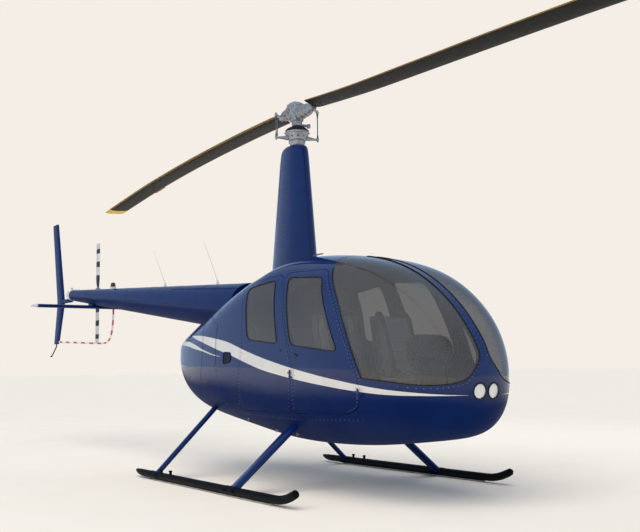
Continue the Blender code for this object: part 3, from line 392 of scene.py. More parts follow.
def bluePaint(name, withStripe, coating):
    # Two-coat enamel, sprayed and polished: a deep blue under a clear coat, the slight orange
    # peel of spraying, and sheet metal that is never quite flat. The faces that look down are
    # duller, with less clear coat, and take a darker blue that is painted shade; low down, specks
    # of dust settle.
    made, add, link = newMaterial(name, IOR=1.5, Specular_IOR_Level=0.04, Coat_Roughness=0.02,
        Coat_IOR=1.5)
    where = add("TexCoord", out="Object")
    height = add("SeparateXYZ", {0: where}, 2)
    mottle = add("TexNoise", {"Vector": where, "Scale": 5.0, "Detail": 4.0})
    # Faces that look down: the mask of the painted shade, which also dulls their gloss.
    facing = add("SeparateXYZ", {0: add("NewGeometry", out="True Normal")}, 2)
    level = add("MapRange", {"Value": facing, "From Min": 0.04, "From Max": -0.3},
        interpolation_type="SMOOTHSTEP")
    broad = add("TexNoise", {"Vector": where, "Scale": 3.0, "Detail": 3.0})
    blotch = add("MapRange", {"Value": broad, "From Min": 0.3, "From Max": 0.7, "To Min": 0.96,
        "To Max": 1.0})
    dull = add("Math", {0: level, 1: blotch}, operation="MULTIPLY")
    bright = add("ValToRGB", {0: mottle}, stops=[(0.3, paintTone["light"]),
        (0.75, paintTone["lighter"])])
    # Painted shade: a darker blue for the faces that look down.
    deep = add("ValToRGB", {0: mottle}, stops=[(0.3, paintTone["deep"]),
        (0.75, paintTone["deeper"])])
    colour = add("Mix", {0: dull, 6: bright, 7: deep}, 2, data_type="RGBA")
    dust = add("MapRange", {"Value": height, "From Min": 0.65, "From Max": 0.3, "To Min": 0.0,
        "To Max": 0.008})
    grit = add("TexNoise", {"Vector": where, "Scale": 40.0, "Detail": 6.0, "Roughness": 0.7})
    specks = add("Math", {0: grit, 1: dust}, operation="MULTIPLY")
    colour = add("Mix", {0: specks, 6: colour, 7: linear("#8d8579")}, 2, data_type="RGBA")
    if withStripe:
        x = add("Math", {0: add("SeparateXYZ", {0: where}), 1: mastX}, operation="SUBTRACT")
        main = bandMask(add, x, height, stripe["low"], stripe["high"], stripe["top"],
            stripe["bottom"])
        small = bandMask(add, x, height, -1.56, -0.301, stripe["swooshTop"],
            stripe["swooshBottom"])
        both = add("Math", {0: main, 1: small}, operation="MAXIMUM")
        white = add("ValToRGB", {0: mottle}, stops=[(0.3, "#d2cdc4"), (0.7, "#dad6cf")])
        colour = add("Mix", {0: both, 6: colour, 7: white}, 2, data_type="RGBA")
    link(colour, "Base Color")
    link(add("MapRange", {"Value": dull, "To Min": 0.24, "To Max": 0.55}), "Roughness")
    link(add("MapRange", {"Value": dull, "To Min": coating, "To Max": 0.0}), "Coat Weight")
    # 4 mm orange peel over 200 mm waves of thin sheet.
    peel = add("TexNoise", {"Vector": where, "Scale": 260.0, "Detail": 2.0})
    sheet = add("TexNoise", {"Vector": where, "Scale": 4.5, "Detail": 1.0})
    waves = add("Math", {0: sheet, 1: 12.0}, operation="MULTIPLY")
    relief = add("Math", {0: peel, 1: waves}, operation="ADD")
    link(add("Bump", {"Height": relief, "Strength": 0.35, "Distance": 0.0006}), "Normal")
    return made


def smokedGlass():
    # Cast acrylic, tinted grey in the mass: half see-through with a grey haze, polished both
    # sides, with faint cleaning swirls in its gloss. Seen along the sheet, the longer way
    # through the tint makes it darker and closes it.
    made, add, link = newMaterial("smokedAcrylic", IOR=1.49, Coat_Weight=0.4, Coat_Roughness=0.01)
    where = add("TexCoord", out="Object")
    cloud = add("TexNoise", {"Vector": where, "Scale": 1.6, "Detail": 2.0})
    tint = add("ValToRGB", {0: cloud}, stops=[(0.3, "#565451"), (0.7, "#666461")])
    facing = add("LayerWeight", {"Blend": 0.5}, "Facing")
    along = add("MapRange", {"Value": facing, "From Min": 0.52, "From Max": 0.82},
        interpolation_type="SMOOTHSTEP")
    shade = add("Mix", {0: along, 6: tint, 7: linear("#262422")}, 2, data_type="RGBA")
    link(shade, "Base Color")
    link(add("MapRange", {"Value": along, "To Min": 0.47, "To Max": 0.86}), "Alpha")
    swirl = add("TexNoise", {"Vector": where, "Scale": 30.0, "Detail": 5.0})
    link(add("MapRange", {"Value": swirl, "To Min": 0.03, "To Max": 0.09}), "Roughness")
    return made


def grained(name, low, high, rough, metallic, scale, bump, distance, **more):
    # A surface whose colour, gloss and height follow one fine noise.
    made, add, link = newMaterial(name, Metallic=metallic, **more)
    where = add("TexCoord", out="Object")
    fine = add("TexNoise", {"Vector": where, "Scale": scale, "Detail": 4.0, "Roughness": 0.6})
    broad = add("TexNoise", {"Vector": where, "Scale": scale / 14, "Detail": 3.0})
    both = add("Math", {0: fine, 1: broad}, operation="ADD")
    half = add("Math", {0: both, 1: 0.5}, operation="MULTIPLY")
    link(add("ValToRGB", {0: half}, stops=[(0.35, low), (0.65, high)]), "Base Color")
    link(add("MapRange", {"Value": half, "From Min": 0.3, "From Max": 0.7, "To Min": rough - 0.08,
        "To Max": rough + 0.1}), "Roughness")
    link(add("Bump", {"Height": fine, "Strength": bump, "Distance": distance}), "Normal")
    return made


def bladePaint():
    # Charcoal anti-glare paint over a bonded skin, with yellow edges and a yellow tip, and the
    # dull scuffing of rain along its leading edge.
    made, add, link = newMaterial("bladePaint", IOR=1.5, Specular_IOR_Level=0.06)
    where = add("TexCoord", out="Object")
    at = add("Mapping", {"Vector": where, "Location": (-mastX, 0, 0)}, vector_type="POINT")
    turn = add("VectorRotate", {"Vector": at, "Angle": -blade["turn"]}, rotation_type="Z_AXIS")
    out, across = (add("SeparateXYZ", {0: turn}, k) for k in (0, 1))
    wear = add("TexNoise", {"Vector": where, "Scale": 22.0, "Detail": 6.0, "Roughness": 0.7})
    cloud = add("TexNoise", {"Vector": where, "Scale": 7.0, "Detail": 5.0})
    dark = add("ValToRGB", {0: cloud}, stops=[(0.3, "#050606"), (0.7, "#0c0d0d")])
    yellow = add("ValToRGB", {0: wear}, stops=[(0.3, "#6f5a2c"), (0.7, "#a5853c")])
    # Offset towards the leading edge: +y on the blade ahead, -y on the one behind.
    way = add("Math", {0: out}, operation="SIGN")
    lead = add("Math", {0: across, 1: way}, operation="MULTIPLY")
    front = add("Math", {0: lead, 1: blade["chord"] * 0.3 - 0.016}, operation="GREATER_THAN")
    back = add("Math", {0: lead, 1: 0.012 - blade["chord"] * 0.7}, operation="LESS_THAN")
    edges = add("Math", {0: front, 1: back}, operation="MAXIMUM")
    colour = add("Mix", {0: edges, 6: dark, 7: yellow}, 2, data_type="RGBA")
    reach = add("Math", {0: out}, operation="ABSOLUTE")
    tip = add("Math", {0: reach, 1: blade["radius"] - blade["tip"]}, operation="GREATER_THAN")
    bright = add("ValToRGB", {0: wear}, stops=[(0.3, "#e0b84a"), (0.7, "#f2d268")])
    link(add("Mix", {0: tip, 6: colour, 7: bright}, 2, data_type="RGBA"), "Base Color")
    link(add("MapRange", {"Value": wear, "To Min": 0.32, "To Max": 0.6}), "Roughness")
    link(add("Bump", {"Height": wear, "Strength": 0.2, "Distance": 0.0004}), "Normal")
    return made


def lampLens():
    # Moulded glass over a silvered bowl: bright, with the fine upright flutes that spread the
    # beam.
    made, add, link = newMaterial("flutedLampGlass", Metallic=0.35, Coat_Weight=1.0,
        Coat_Roughness=0.02)
    where = add("TexCoord", out="Object")
    flutes = add("TexWave", {"Vector": where, "Scale": 26.0, "Distortion": 0.0}, 1,
        bands_direction="Y")
    cloud = add("TexNoise", {"Vector": where, "Scale": 14.0, "Detail": 3.0})
    mix = add("Math", {0: flutes, 1: cloud}, operation="ADD")
    half = add("Math", {0: mix, 1: 0.5}, operation="MULTIPLY")
    link(add("ValToRGB", {0: half}, stops=[(0.15, "#c4c6c6"), (0.8, "#f7f6f2")]), "Base Color")
    link(add("MapRange", {"Value": cloud, "To Min": 0.12, "To Max": 0.3}), "Roughness")
    link(add("Bump", {"Height": flutes, "Strength": 0.4, "Distance": 0.0015}), "Normal")
    return made


def clothWeave(name, low, high, thread):
    # Plain woven upholstery: two crossed waves a thread apart, coarse enough to show, with the
    # small colour changes of spun yarn.
    made, add, link = newMaterial(name, Roughness=0.92, Sheen_Weight=0.35, Sheen_Roughness=0.5)
    where = add("TexCoord", out="Object")
    scale = 2 * math.pi / thread / 20
    warp, weft = (add("TexWave", {"Vector": where, "Scale": scale, "Distortion": 0.6}, 1,
        bands_direction=way) for way in "XZ")
    weave = add("Math", {0: warp, 1: weft}, operation="MULTIPLY")
    yarn = add("TexNoise", {"Vector": where, "Scale": 90.0, "Detail": 4.0})
    mix = add("Math", {0: weave, 1: yarn}, operation="ADD")
    half = add("Math", {0: mix, 1: 0.5}, operation="MULTIPLY")
    link(add("ValToRGB", {0: half}, stops=[(0.2, low), (0.7, high)]), "Base Color")
    link(add("Bump", {"Height": mix, "Strength": 0.5, "Distance": 0.0012}), "Normal")
    return made


blade = {"turn": math.radians(-2.4), "chord": 0.254, "radius": 5.029, "tip": 0.2, "hubZ": 3.37}

finishes = {
    "paint": (bluePaint("blueEnamel", True, 1.0), "blue_paint"),
    "plainPaint": (bluePaint("blueEnamelPlain", False, 0.25), "blue_paint"),
    "fairingPaint": (bluePaint("blueEnamelFairing", False, 0.85), "blue_paint"),
    "finPaint": (bluePaint("blueEnamelFin", False, 0.1), "blue_paint"),
    "glass": (smokedGlass(), "smoked_glass"),
    "blade": (bladePaint(), "charcoal"),
    "lens": (lampLens(), "lamp_glass"),
    "seat": (clothWeave("seatCloth", "#929294", "#bcbbba", 0.006), "seat_cloth"),
    "welt": (clothWeave("seatWelt", "#7d7d80", "#a5a4a4", 0.004), "seat_cloth"),
    "belt": (clothWeave("beltWebbing", "#2c2c30", "#4c4c50", 0.004), "seat_cloth"),
}
# Name, slot, darker and lighter tone, roughness, metallic, grain scale, and the bump's
# strength and depth.
for key, slot, *look in (
        # Machined and bead-blasted aluminium: light, a little rough, with tool marks.
        ("alloy", "grey_metal", "castAlloy", "#8b8d90", "#b9bbbd", 0.45, 0.65, 90.0, 0.25, 6e-4),
        # Cadmium-plated rods, darker than the castings.
        ("rod", "grey_metal", "platedRod", "#5c5e62", "#83868a", 0.4, 0.7, 160.0, 0.12, 3e-4),
        # Plated steel bolts and tubes, brighter and smoother.
        ("steel", "grey_metal", "platedSteel", "#8d8c88", "#bdbbb5", 0.42, 0.8, 160.0, 0.12,
         3e-4),
        # Small round heads under the body's blue, worn bright.
        ("screw", "grey_metal", "screwHeads", "#3d4a6c", "#66728f", 0.4, 0.4, 200.0, 0.1, 2e-4),
        # Moulded rubber, dull, with a fine stipple.
        ("rubber", "black_paint", "mouldedRubber", "#0b0b0c", "#1a1a1b", 0.75, 0.0, 220.0, 0.3,
         4e-4),
        # The dark, dusty gap between two sheets.
        ("seam", "black_paint", "seamGap", "#02030a", "#0a0c14", 0.6, 0.0, 120.0, 0.1, 2e-4),
        # Smooth stove enamel on small castings.
        ("greyPaint", "light_grey", "lightGreyEnamel", "#b9bbbd", "#d4d5d6", 0.35, 0.0, 50.0,
         0.12, 3e-4),
        ("paintedMetal", "blue_paint", "paintedHinge", "#0a1f52", "#123068", 0.35, 0.0, 150.0,
         0.15, 3e-4),
        # Dark blue-grey vinyl on the cabin's inner walls, matt.
        ("lining", "dark_plastic", "cabinLining", "#12151f", "#1d2130", 0.8, 0.0, 120.0, 0.3,
         6e-4),
        # Moulded grey shells under and behind the cushions.
        ("shell", "dark_plastic", "mouldedSeatShell", "#68696c", "#86878a", 0.5, 0.0, 260.0,
         0.3, 3e-4),
        # Vacuum-formed black plastic with a leather grain.
        ("trim", "dark_plastic", "mouldedTrim", "#1d1d1f", "#303033", 0.55, 0.0, 300.0, 0.35,
         3e-4),
        # Short grey loops, deep and quite matt.
        ("carpet", "dark_plastic", "loopCarpet", "#57575b", "#77777b", 0.95, 0.0, 500.0, 1.0,
         3e-3),
        # Die-cast latches under the same dark blue as the doors, worn bright at the edges.
        ("latch", "dark_plastic", "paintedLatch", "#141b30", "#39425c", 0.35, 0.3, 120.0, 0.15,
         3e-4),
        # Sand-cast iron, dark and rough.
        ("castIron", "engine_grey", "greyEngine", "#3a3a3c", "#58585b", 0.6, 0.4, 70.0, 0.4,
         1e-3)):
    finishes[key] = (grained(*look), slot)
# Satin black enamel on the skids, scuffed to grey by the ground, and a moulded red lens.
finishes["skidBlack"] = (grained("satinBlackEnamel", "#040405", "#0d0d0e", 0.5, 0.0, 60.0, 0.25,
    6e-4, Specular_IOR_Level=0.08), "black_paint")
finishes["beacon"] = (grained("redLens", "#3a1513", "#54201c", 0.15, 0.0, 40.0, 0.1, 4e-4,
    Coat_Weight=1.0), "black_paint")
print("materials made")


# One table of sections gives the body's skin, and every panel is cut from it: x from the
# mast, half width, bottom, middle, top, the lower and upper powers, and the deck's slope.
bodyTable = np.array([(2.38, 0.0, 0.915, 0.915, 0.915, 2.0, 2.0, 0.0),
    (2.372, 0.11, 0.785, 0.91, 1.01, 2.0, 2.0, 0.0), (2.345, 0.21, 0.655, 0.9, 1.095, 2.1,
    2.1, 0.0), (2.29, 0.31, 0.555, 0.9, 1.19, 2.2, 2.4, 0.0),
    (2.195, 0.405, 0.492, 0.905, 1.315, 2.3, 2.8, 0.0), (2.06, 0.485, 0.46, 0.92, 1.46, 2.4,
    3.2, 0.0), (1.85, 0.552, 0.433, 0.94, 1.62, 2.5, 3.5, 0.0),
    (1.6, 0.598, 0.405, 0.96, 1.755, 2.5, 3.7, 0.0), (1.3, 0.628, 0.374, 0.98, 1.852, 2.5,
    3.6, 0.0), (0.95, 0.64, 0.358, 1.0, 1.91, 2.5, 3.3, 0.0),
    (0.55, 0.641, 0.356, 1.0, 1.96, 2.5, 3.3, 0.08), (0.15, 0.64, 0.38, 1.0, 1.99, 2.4,
    4.0, 0.25), (-0.17, 0.634, 0.42, 1.01, 1.97, 2.3, 4.2, 0.36),
    (-0.5, 0.62, 0.47, 1.02, 1.93, 2.4, 4.2, 0.47), (-0.8, 0.592, 0.52, 1.035, 1.87, 2.6,
    4.0, 0.58), (-1.05, 0.557, 0.57, 1.045, 1.8, 2.8, 4.0, 0.63),
    (-1.28, 0.512, 0.64, 1.06, 1.71, 2.8, 4.0, 0.66), (-1.45, 0.466, 0.725, 1.085, 1.61, 2.6,
    3.8, 0.68), (-1.62, 0.39, 0.85, 1.12, 1.49, 2.4, 3.4, 0.66),
    (-1.74, 0.295, 0.98, 1.15, 1.39, 2.2, 2.8, 0.6), (-1.8, 0.185, 1.08, 1.165, 1.29, 2.0,
    2.2, 0.4), (-1.825, 0.0, 1.175, 1.175, 1.175, 2.0, 2.0, 0.0)])
skin = {"perSpan": 10, "spread": 5.0, "round": 240, "deckSharp": 14, "wall": 0.035, "split": -0.42,
    "seam": 0.0015}


def smoothTable(table, perSpan, spread):
    # Catmull-Rom through the rows, then a Gaussian along them with both ends held.
    n = len(table)
    q = np.vstack([table[:1], table, table[-1:]])
    k = np.repeat(np.arange(n - 1), perSpan)
    t = np.tile(np.arange(perSpan) / perSpan, n - 1)[:, None]
    fine = np.vstack([catmull(q[k], q[k + 1], q[k + 2], q[k + 3], t), table[-1:]])
    half = int(3 * spread)
    kernel = np.exp(-0.5 * (np.arange(-half, half + 1) / spread) ** 2)
    kernel /= kernel.sum()
    before = 2 * fine[0] - fine[1:half + 1][::-1]
    after = 2 * fine[-1] - fine[-half - 1:-1][::-1]
    long = np.vstack([before, fine, after])
    return np.stack([np.convolve(long[:, c], kernel, "valid") for c in range(long.shape[1])], 1)


fineTable = smoothTable(bodyTable, skin["perSpan"], skin["spread"])


def columnsAt(index):
    # The table's columns at fractional row numbers.
    return np.moveaxis(between(index, np.arange(len(fineTable)), fineTable), -1, 0)


def indexOf(x):
    return np.interp(-np.asarray(x, float), -fineTable[:, 0], np.arange(len(fineTable)))


def sectionValue(c, s, lower, upper, deck):
    # G = ((|c|^p + |s|^p)^(14/p) + k max(0, d |c| + s)^14)^(1/14); the skin is where G = 1.
    p = np.where(s > 0, upper, lower)
    side = (np.abs(c) ** p + np.abs(s) ** p) ** (1 / p)
    share = np.where(s > 0, np.clip(4 * deck, 0, 1), 0)
    slope = np.maximum(0, deck * np.abs(c) + s)
    sharp = skin["deckSharp"]
    return (side ** sharp + share * slope ** sharp) ** (1 / sharp)


def skinPoints(index, angle):
    # Points of the skin for row numbers (down) and angles (across).
    x, w, bottom, middle, top, lower, upper, deck = columnsAt(index)[:, :, None]
    c, s = np.cos(angle)[None], np.sin(angle)[None]
    g = sectionValue(c, s, lower, upper, deck)
    h = np.where(s > 0, top - middle, middle - bottom)
    return np.stack([np.broadcast_to(mastX + x, g.shape), w * c / g, middle + h * s / g], -1)


def gridNormals(points, wrap):
    # The cross product of the two grid directions, facing out.
    du = np.gradient(points, axis=0)
    dv = (np.roll(points, -1, 1) - np.roll(points, 1, 1)) if wrap else np.gradient(points, axis=1)
    n = np.cross(du, dv)
    return n / np.maximum(np.linalg.norm(n, axis=-1, keepdims=True), 1e-12)


allAngles = np.arange(skin["round"]) * 2 * np.pi / skin["round"] - np.pi / 2
normalTable = gridNormals(skinPoints(np.arange(len(fineTable)), allAngles), True)
normalTable[0] = (1, 0, 0)
normalTable[-1] = (-1, 0, 0)


def sectionPlace(points):
    # Row number, angle and G of any points near the skin.
    p = np.asarray(points, float)
    index = indexOf(p[:, 0] - mastX)
    _, w, bottom, middle, top, *powers = columnsAt(index)
    w = np.maximum(w, 1e-4)
    h = np.maximum(np.where(p[:, 2] > middle, top - middle, middle - bottom), 1e-4)
    a, b = p[:, 1] / w, (p[:, 2] - middle) / h
    return index, np.arctan2(b, a), sectionValue(a, b, *powers), middle


def skinNormal(points):
    # The skin's normal at points near it, read from the table of normals.
    index, angle, _, _ = sectionPlace(points)
    u = np.clip(index, 0, len(normalTable) - 1.001)
    v = (angle + np.pi / 2) / (2 * np.pi) * skin["round"]
    i, j = u.astype(int), np.floor(v).astype(int)
    fu, fv = (u - i)[:, None], (v - j)[:, None]
    j0, j1 = j % skin["round"], (j + 1) % skin["round"]
    n = (normalTable[i, j0] * (1 - fu) * (1 - fv) + normalTable[i + 1, j0] * fu * (1 - fv)
        + normalTable[i, j1] * (1 - fu) * fv + normalTable[i + 1, j1] * fu * fv)
    return n / np.linalg.norm(n, axis=1)[:, None]


def farthest(inside, low, high):
    # The last value inside, by halving 40 times.
    for _ in range(40):
        mid = (low + high) / 2
        within = inside(mid)
        low, high = np.where(within, mid, low), np.where(within, high, mid)
    return low


def sectionAt(x, z):
    # The section's sizes at a distance, and the height as a share of its upper or lower half.
    _, w, bottom, middle, top, *powers = columnsAt(indexOf(x))
    return w, (z - middle) / np.where(z > middle, top - middle, middle - bottom), powers


def skinSide(x, z, side=1):
    # The point of the skin at a distance and height on one side.
    x, z = np.broadcast_arrays(np.asarray(x, float), np.asarray(z, float))
    w, b, powers = sectionAt(x, z)
    y = farthest(lambda a: sectionValue(a, b, *powers) < 1, np.zeros(x.shape), np.ones(x.shape))
    return np.stack([mastX + x, side * y * w, z], -1)


def skinTop(x, y, way=1):
    # The point of the skin above (or below) a place on the plan.
    x, y = np.broadcast_arrays(np.asarray(x, float), np.asarray(y, float))
    _, w, bottom, middle, top, *powers = columnsAt(indexOf(x))
    rise = farthest(lambda b: sectionValue(np.abs(y) / w, way * b, *powers) < 1, np.zeros(x.shape),
        np.ones(x.shape))
    h = (top - middle) if way > 0 else (middle - bottom)
    return np.stack([mastX + x, y, middle + way * rise * h], -1)


def skinFront(y, z):
    # The point of the skin ahead of the cabin for a place seen from the front.
    y, z = np.broadcast_arrays(np.asarray(y, float), np.asarray(z, float))

    def inside(x):
        w, b, powers = sectionAt(x, z)
        return sectionValue(y / np.maximum(w, 1e-4), b, *powers) < 1

    return np.stack([mastX + farthest(inside, np.full(y.shape, 0.9), np.full(y.shape, 2.379)), y,
        z], -1)


def slab(name, index, angle, depth, thick, wrap=False):
    # A piece of wall: the skin moved in by its depth, and again by its thickness, and closed.
    points = skinPoints(index, angle)
    normals = gridNormals(points, wrap)
    if index[0] < 0.5:
        normals[0] = (1, 0, 0)
    if index[-1] > len(fineTable) - 1.5:
        normals[-1] = (-1, 0, 0)
    rows, cols = points.shape[:2]
    outer, inner = points - normals * depth, points - normals * (depth + thick)
    start = rows * cols
    faces = np.array(quads(rows, cols, wrap))
    parts = [faces, faces[:, ::-1] + start]
    ring = np.arange(cols if wrap else cols - 1)
    after = (ring + 1) % cols
    if index[0] > 0.5:
        parts.append(np.stack([ring, after, after + start, ring + start], -1))
    if index[-1] < len(fineTable) - 1.5:
        last = (rows - 1) * cols
        parts.append(np.stack([last + after, last + ring, last + ring + start,
            last + after + start], -1))
    if not wrap:
        side = np.arange(rows - 1) * cols
        parts.append(np.stack([side + cols, side, side + start, side + cols + start], -1))
        side = side + cols - 1
        parts.append(np.stack([side, side + cols, side + cols + start, side + start], -1))
    return makePiece(name, np.concatenate([outer.reshape(-1, 3), inner.reshape(-1, 3)]),
        np.concatenate(parts))


def shadeLikeSkin(piece, thick, lining=None):
    # Faces that lie on the skin take the skin's own normals, so cuts leave no marks in the
    # gloss, and the faces inside take the lining.
    mesh = piece.data
    loops = gathered(mesh.loops, "vertex_index", 1, int)
    flat = gathered(mesh.polygons, "normal", 3)
    total = gathered(mesh.polygons, "loop_total", 1, int)
    first = gathered(mesh.polygons, "loop_start", 1, int)
    points = gathered(mesh.vertices, "co", 3)
    _, _, g, middle = sectionPlace(points)
    normals = skinNormal(points)
    away = points - np.column_stack([points[:, 0], np.zeros(len(points)), middle])
    size = np.linalg.norm(away, axis=1)
    lean = np.clip(np.sum(normals * away, axis=1) / np.maximum(size, 1e-6), 0.15, 1)
    depth = size * (1 / np.maximum(g, 1e-6) - 1) * lean
    loopDepth, loopNormal = depth[loops], normals[loops]
    faceNormal = np.repeat(flat, total, axis=0)
    dot = np.sum(loopNormal * faceNormal, axis=1)
    deepest = np.repeat(np.maximum.reduceat(loopDepth, first), total)
    shallow = np.repeat(np.minimum.reduceat(loopDepth, first), total)
    outer = (deepest < 0.5 * thick + 0.004) & (dot > 0.6)
    inner = (shallow > 0.4 * thick) & (dot < -0.6)
    chosen = np.where(outer[:, None], loopNormal, np.where(inner[:, None], -loopNormal,
        faceNormal))
    mesh.shade_smooth()
    mesh.normals_split_custom_set(chosen.tolist())
    if lining:
        mesh.materials.append(finishes[lining][0])
        mesh.polygons.foreach_set("material_index", np.where(inner[first], 1, 0))


outlines = {
    "frontDoor": [(1.175, 1.755), (1.385, 1.475), (1.5, 1.24), (1.655, 0.89),
        (1.64, 0.7), (1.5, 0.64), (0.77, 0.62), (0.885, 0.93), (0.625, 1.77)],
    "rearDoor": [(0.6, 1.76), (0.86, 0.93), (0.74, 0.62), (-0.15, 0.62),
        (-0.03, 0.85), (0.07, 1.19), (0.055, 1.725)],
    "frontWindow": [(1.15, 1.695), (1.44, 1.1), (0.835, 1.165), (0.69, 1.725)],
    "rearWindow": [(0.52, 1.715), (0.645, 1.18), (0.16, 1.23), (0.1, 1.675)],
    "screenSide": [(1.08, 2.3), (1.08, 1.9), (1.192, 1.785), (1.413, 1.49),
        (1.524, 1.26), (1.603, 1.074), (1.7, 0.88), (1.76, 0.7), (2.8, 0.7),
        (2.8, 2.3)],
    "screenFace": [(0.042, 1.04), (0.167, 0.889), (0.297, 0.857), (0.42, 0.853),
        (0.5, 0.868), (0.58, 0.905), (0.802, 0.95), (0.802, 2.3), (0.042, 2.3)],
}
lamp = {"y": 0.066, "z": 0.81, "radius": 0.052}
gap = {"door": 0.0035, "pane": 0.0012, "sink": 0.0015}
corner = {"door": 0.07, "window": 0.06, "screen": 0.05}
paneThick = 0.006
screwPitch = {"door": 0.034, "screen": 0.03}


def screenTool(shrink):
    face, side = (rounded(inset(outlines[key], shrink), corner["screen"])
        for key in ("screenFace", "screenSide"))
    tool = makePiece("tool", *prism(side, "Y", -0.9, 0.9))
    return carve(tool, "INTERSECT", makePiece("face", *prism(face, "X", 0.9, 2.9)))


def bodyPanels():
    wall = skin["wall"]
    rows = len(fineTable) - 1
    splitAt = indexOf(skin["split"])
    shell = slab("cabinShell", np.linspace(0, splitAt, 118), allAngles, 0, wall, True)
    holes = []
    for side in (starboard, port):
        for door in ("frontDoor", "rearDoor"):
            low, high = sorted((side * 0.2, side * 0.8))
            holes.append(prism(rounded(outlines[door], corner["door"]), "Y", low, high))
        holes.append(turned((mastX + 2.2, side * lamp["y"], lamp["z"]), (1, 0, 0),
            [(0, lamp["radius"] + 0.002), (0.4, lamp["radius"] + 0.002)], 48))
    carve(shell, "DIFFERENCE", merged("holes", holes))
    opening = screenTool(0.0)
    carve(shell, "DIFFERENCE", mirrored(opening, "openingRight"))
    carve(shell, "DIFFERENCE", opening)
    finished(shell, "airframe", "paint", ["cabin_shell"])
    shadeLikeSkin(shell, wall, "lining")

    cowl = slab("engineCowl", np.linspace(indexOf(skin["split"] - skin["seam"]), rows, 92),
        allAngles, 0, wall, True)
    start, end = coneEnds()
    along = end - start
    length = np.linalg.norm(along)
    lead = 0.02
    carve(cowl, "DIFFERENCE", merged("coneRoom", [turned(start + along / length * lead, along,
        [(0, coneRadius(lead / length) + 0.002), (length, cone["rear"][2] + 0.002)], 96)]))
    finished(cowl, "airframe", "paint", ["engine_cowl"])
    shadeLikeSkin(cowl, wall, "lining")
    print("shell and cowl made")

    upper = np.linspace(-np.pi / 2 + 0.1, np.pi / 2 - 0.1, 110)
    for door, window, low, high, nodes in (("frontDoor", "frontWindow", 0.5, 1.78, "front"),
            ("rearDoor", "rearWindow", -0.28, 0.98, "rear")):
        index = np.linspace(indexOf(high), indexOf(low), 72)
        leaf = slab(door + "Left", index, upper, 0, wall)
        edge = rounded(inset(outlines[door], gap["door"]), corner["door"])
        carve(leaf, "INTERSECT", makePiece("leaf", *prism(edge, "Y", 0.19, 0.79)))
        edge = rounded(outlines[window], corner["window"])
        carve(leaf, "DIFFERENCE", makePiece("light", *prism(edge, "Y", 0.17, 0.81)))
        pane = slab(window + "Left", index, upper, gap["sink"], paneThick)
        edge = rounded(inset(outlines[window], gap["pane"]), corner["window"])
        carve(pane, "INTERSECT", makePiece("paneTool", *prism(edge, "Y", 0.17, 0.81)))
        for side, label in ((port, "left"), (starboard, "right")):
            body = f"{nodes}_door_{label}"
            one = leaf if side == port else mirrored(leaf, door + "Right")
            two = pane if side == port else mirrored(pane, window + "Right")
            finished(one, body, "paint", [f"door_{nodes}_{label}"])
            finished(two, body, "glass", [f"window_{nodes}_{label}"])
            shadeLikeSkin(one, wall, "lining")
            shadeLikeSkin(two, paneThick)
    screen = slab("windscreenLeft", np.linspace(1.0, indexOf(0.98), 90),
        np.linspace(-0.6, np.pi / 2 + 0.02, 110), gap["sink"], paneThick)
    carve(screen, "INTERSECT", screenTool(gap["pane"]))
    other = mirrored(screen, "windscreenRight")
    for piece, label in ((screen, "left"), (other, "right")):
        finished(piece, "airframe", "glass", [f"windshield_{label}"])
        shadeLikeSkin(piece, paneThick)
    print("doors and windows made")


def sample(points, step, closed=False):
    # Points one step apart along a line of points.
    p = np.asarray(points, float)
    if closed:
        p = np.vstack([p, p[:1]])
    s = lengths(p)
    want = np.linspace(0, s[-1], max(2, int(round(s[-1] / step)) + 1))
    return between(want[:-1] if closed else want, s, p)


def onSkin(points, lift=0.0):
    # Points of the skin with their normals, moved out by the lift.
    n = skinNormal(points)
    return points + n * lift, n


def rimOf(piece, step=0.012):
    # The outline of a pane's outer face: the vertices that it shares with the pane's edge, in
    # order round the middle, then evenly spaced.
    p = gathered(piece.data.vertices, "co", 3)
    flat = gathered(piece.data.polygons, "normal", 3)
    total = gathered(piece.data.polygons, "loop_total", 1, int)
    vertexOf = gathered(piece.data.loops, "vertex_index", 1, int)
    owner = np.repeat(np.arange(len(total)), total)
    centre = np.zeros((len(total), 3))
    np.add.at(centre, owner, p[vertexOf])
    centre /= total[:, None]
    out = np.sum(flat * skinNormal(centre), axis=1)
    face, wall = out > 0.6, np.abs(out) < 0.5
    touchFace, touchWall = np.zeros(len(p), bool), np.zeros(len(p), bool)
    touchFace[vertexOf[face[owner]]] = True
    touchWall[vertexOf[wall[owner]]] = True
    rim = p[touchFace & touchWall]
    middle = rim.mean(0)
    a, b, _ = axes(skinNormal(middle[None])[0])
    turn = np.arctan2((rim - middle) @ b, (rim - middle) @ a)
    return sample(rim[np.argsort(turn)], step, True)


def screws(name, body, rows, finish="screw", radius=0.0042, height=0.0016):
    # Low round heads, each a dome on a short shank, set along rows of points and normals.
    profile = [(-0.0015, 0.0), (-0.0015, radius), (height * 0.4, radius),
        (height * 0.85, radius * 0.66), (height, 0.0)]
    t = np.arange(8) * np.pi / 4
    template = np.array([[r * math.cos(a), r * math.sin(a), h] for h, r in profile for a in t])
    points, normals = (np.concatenate([row[k] for row in rows]) for k in (0, 1))
    shape, faces = stamps(template, quads(len(profile), 8, True), points, normals)
    return finished(makePiece(name, shape, faces), body, finish)


def lineOnSide(points, side, step, lift=0.0):
    flat = sample(points, step)
    return onSkin(skinSide(flat[:, 0], flat[:, 1], side), lift)


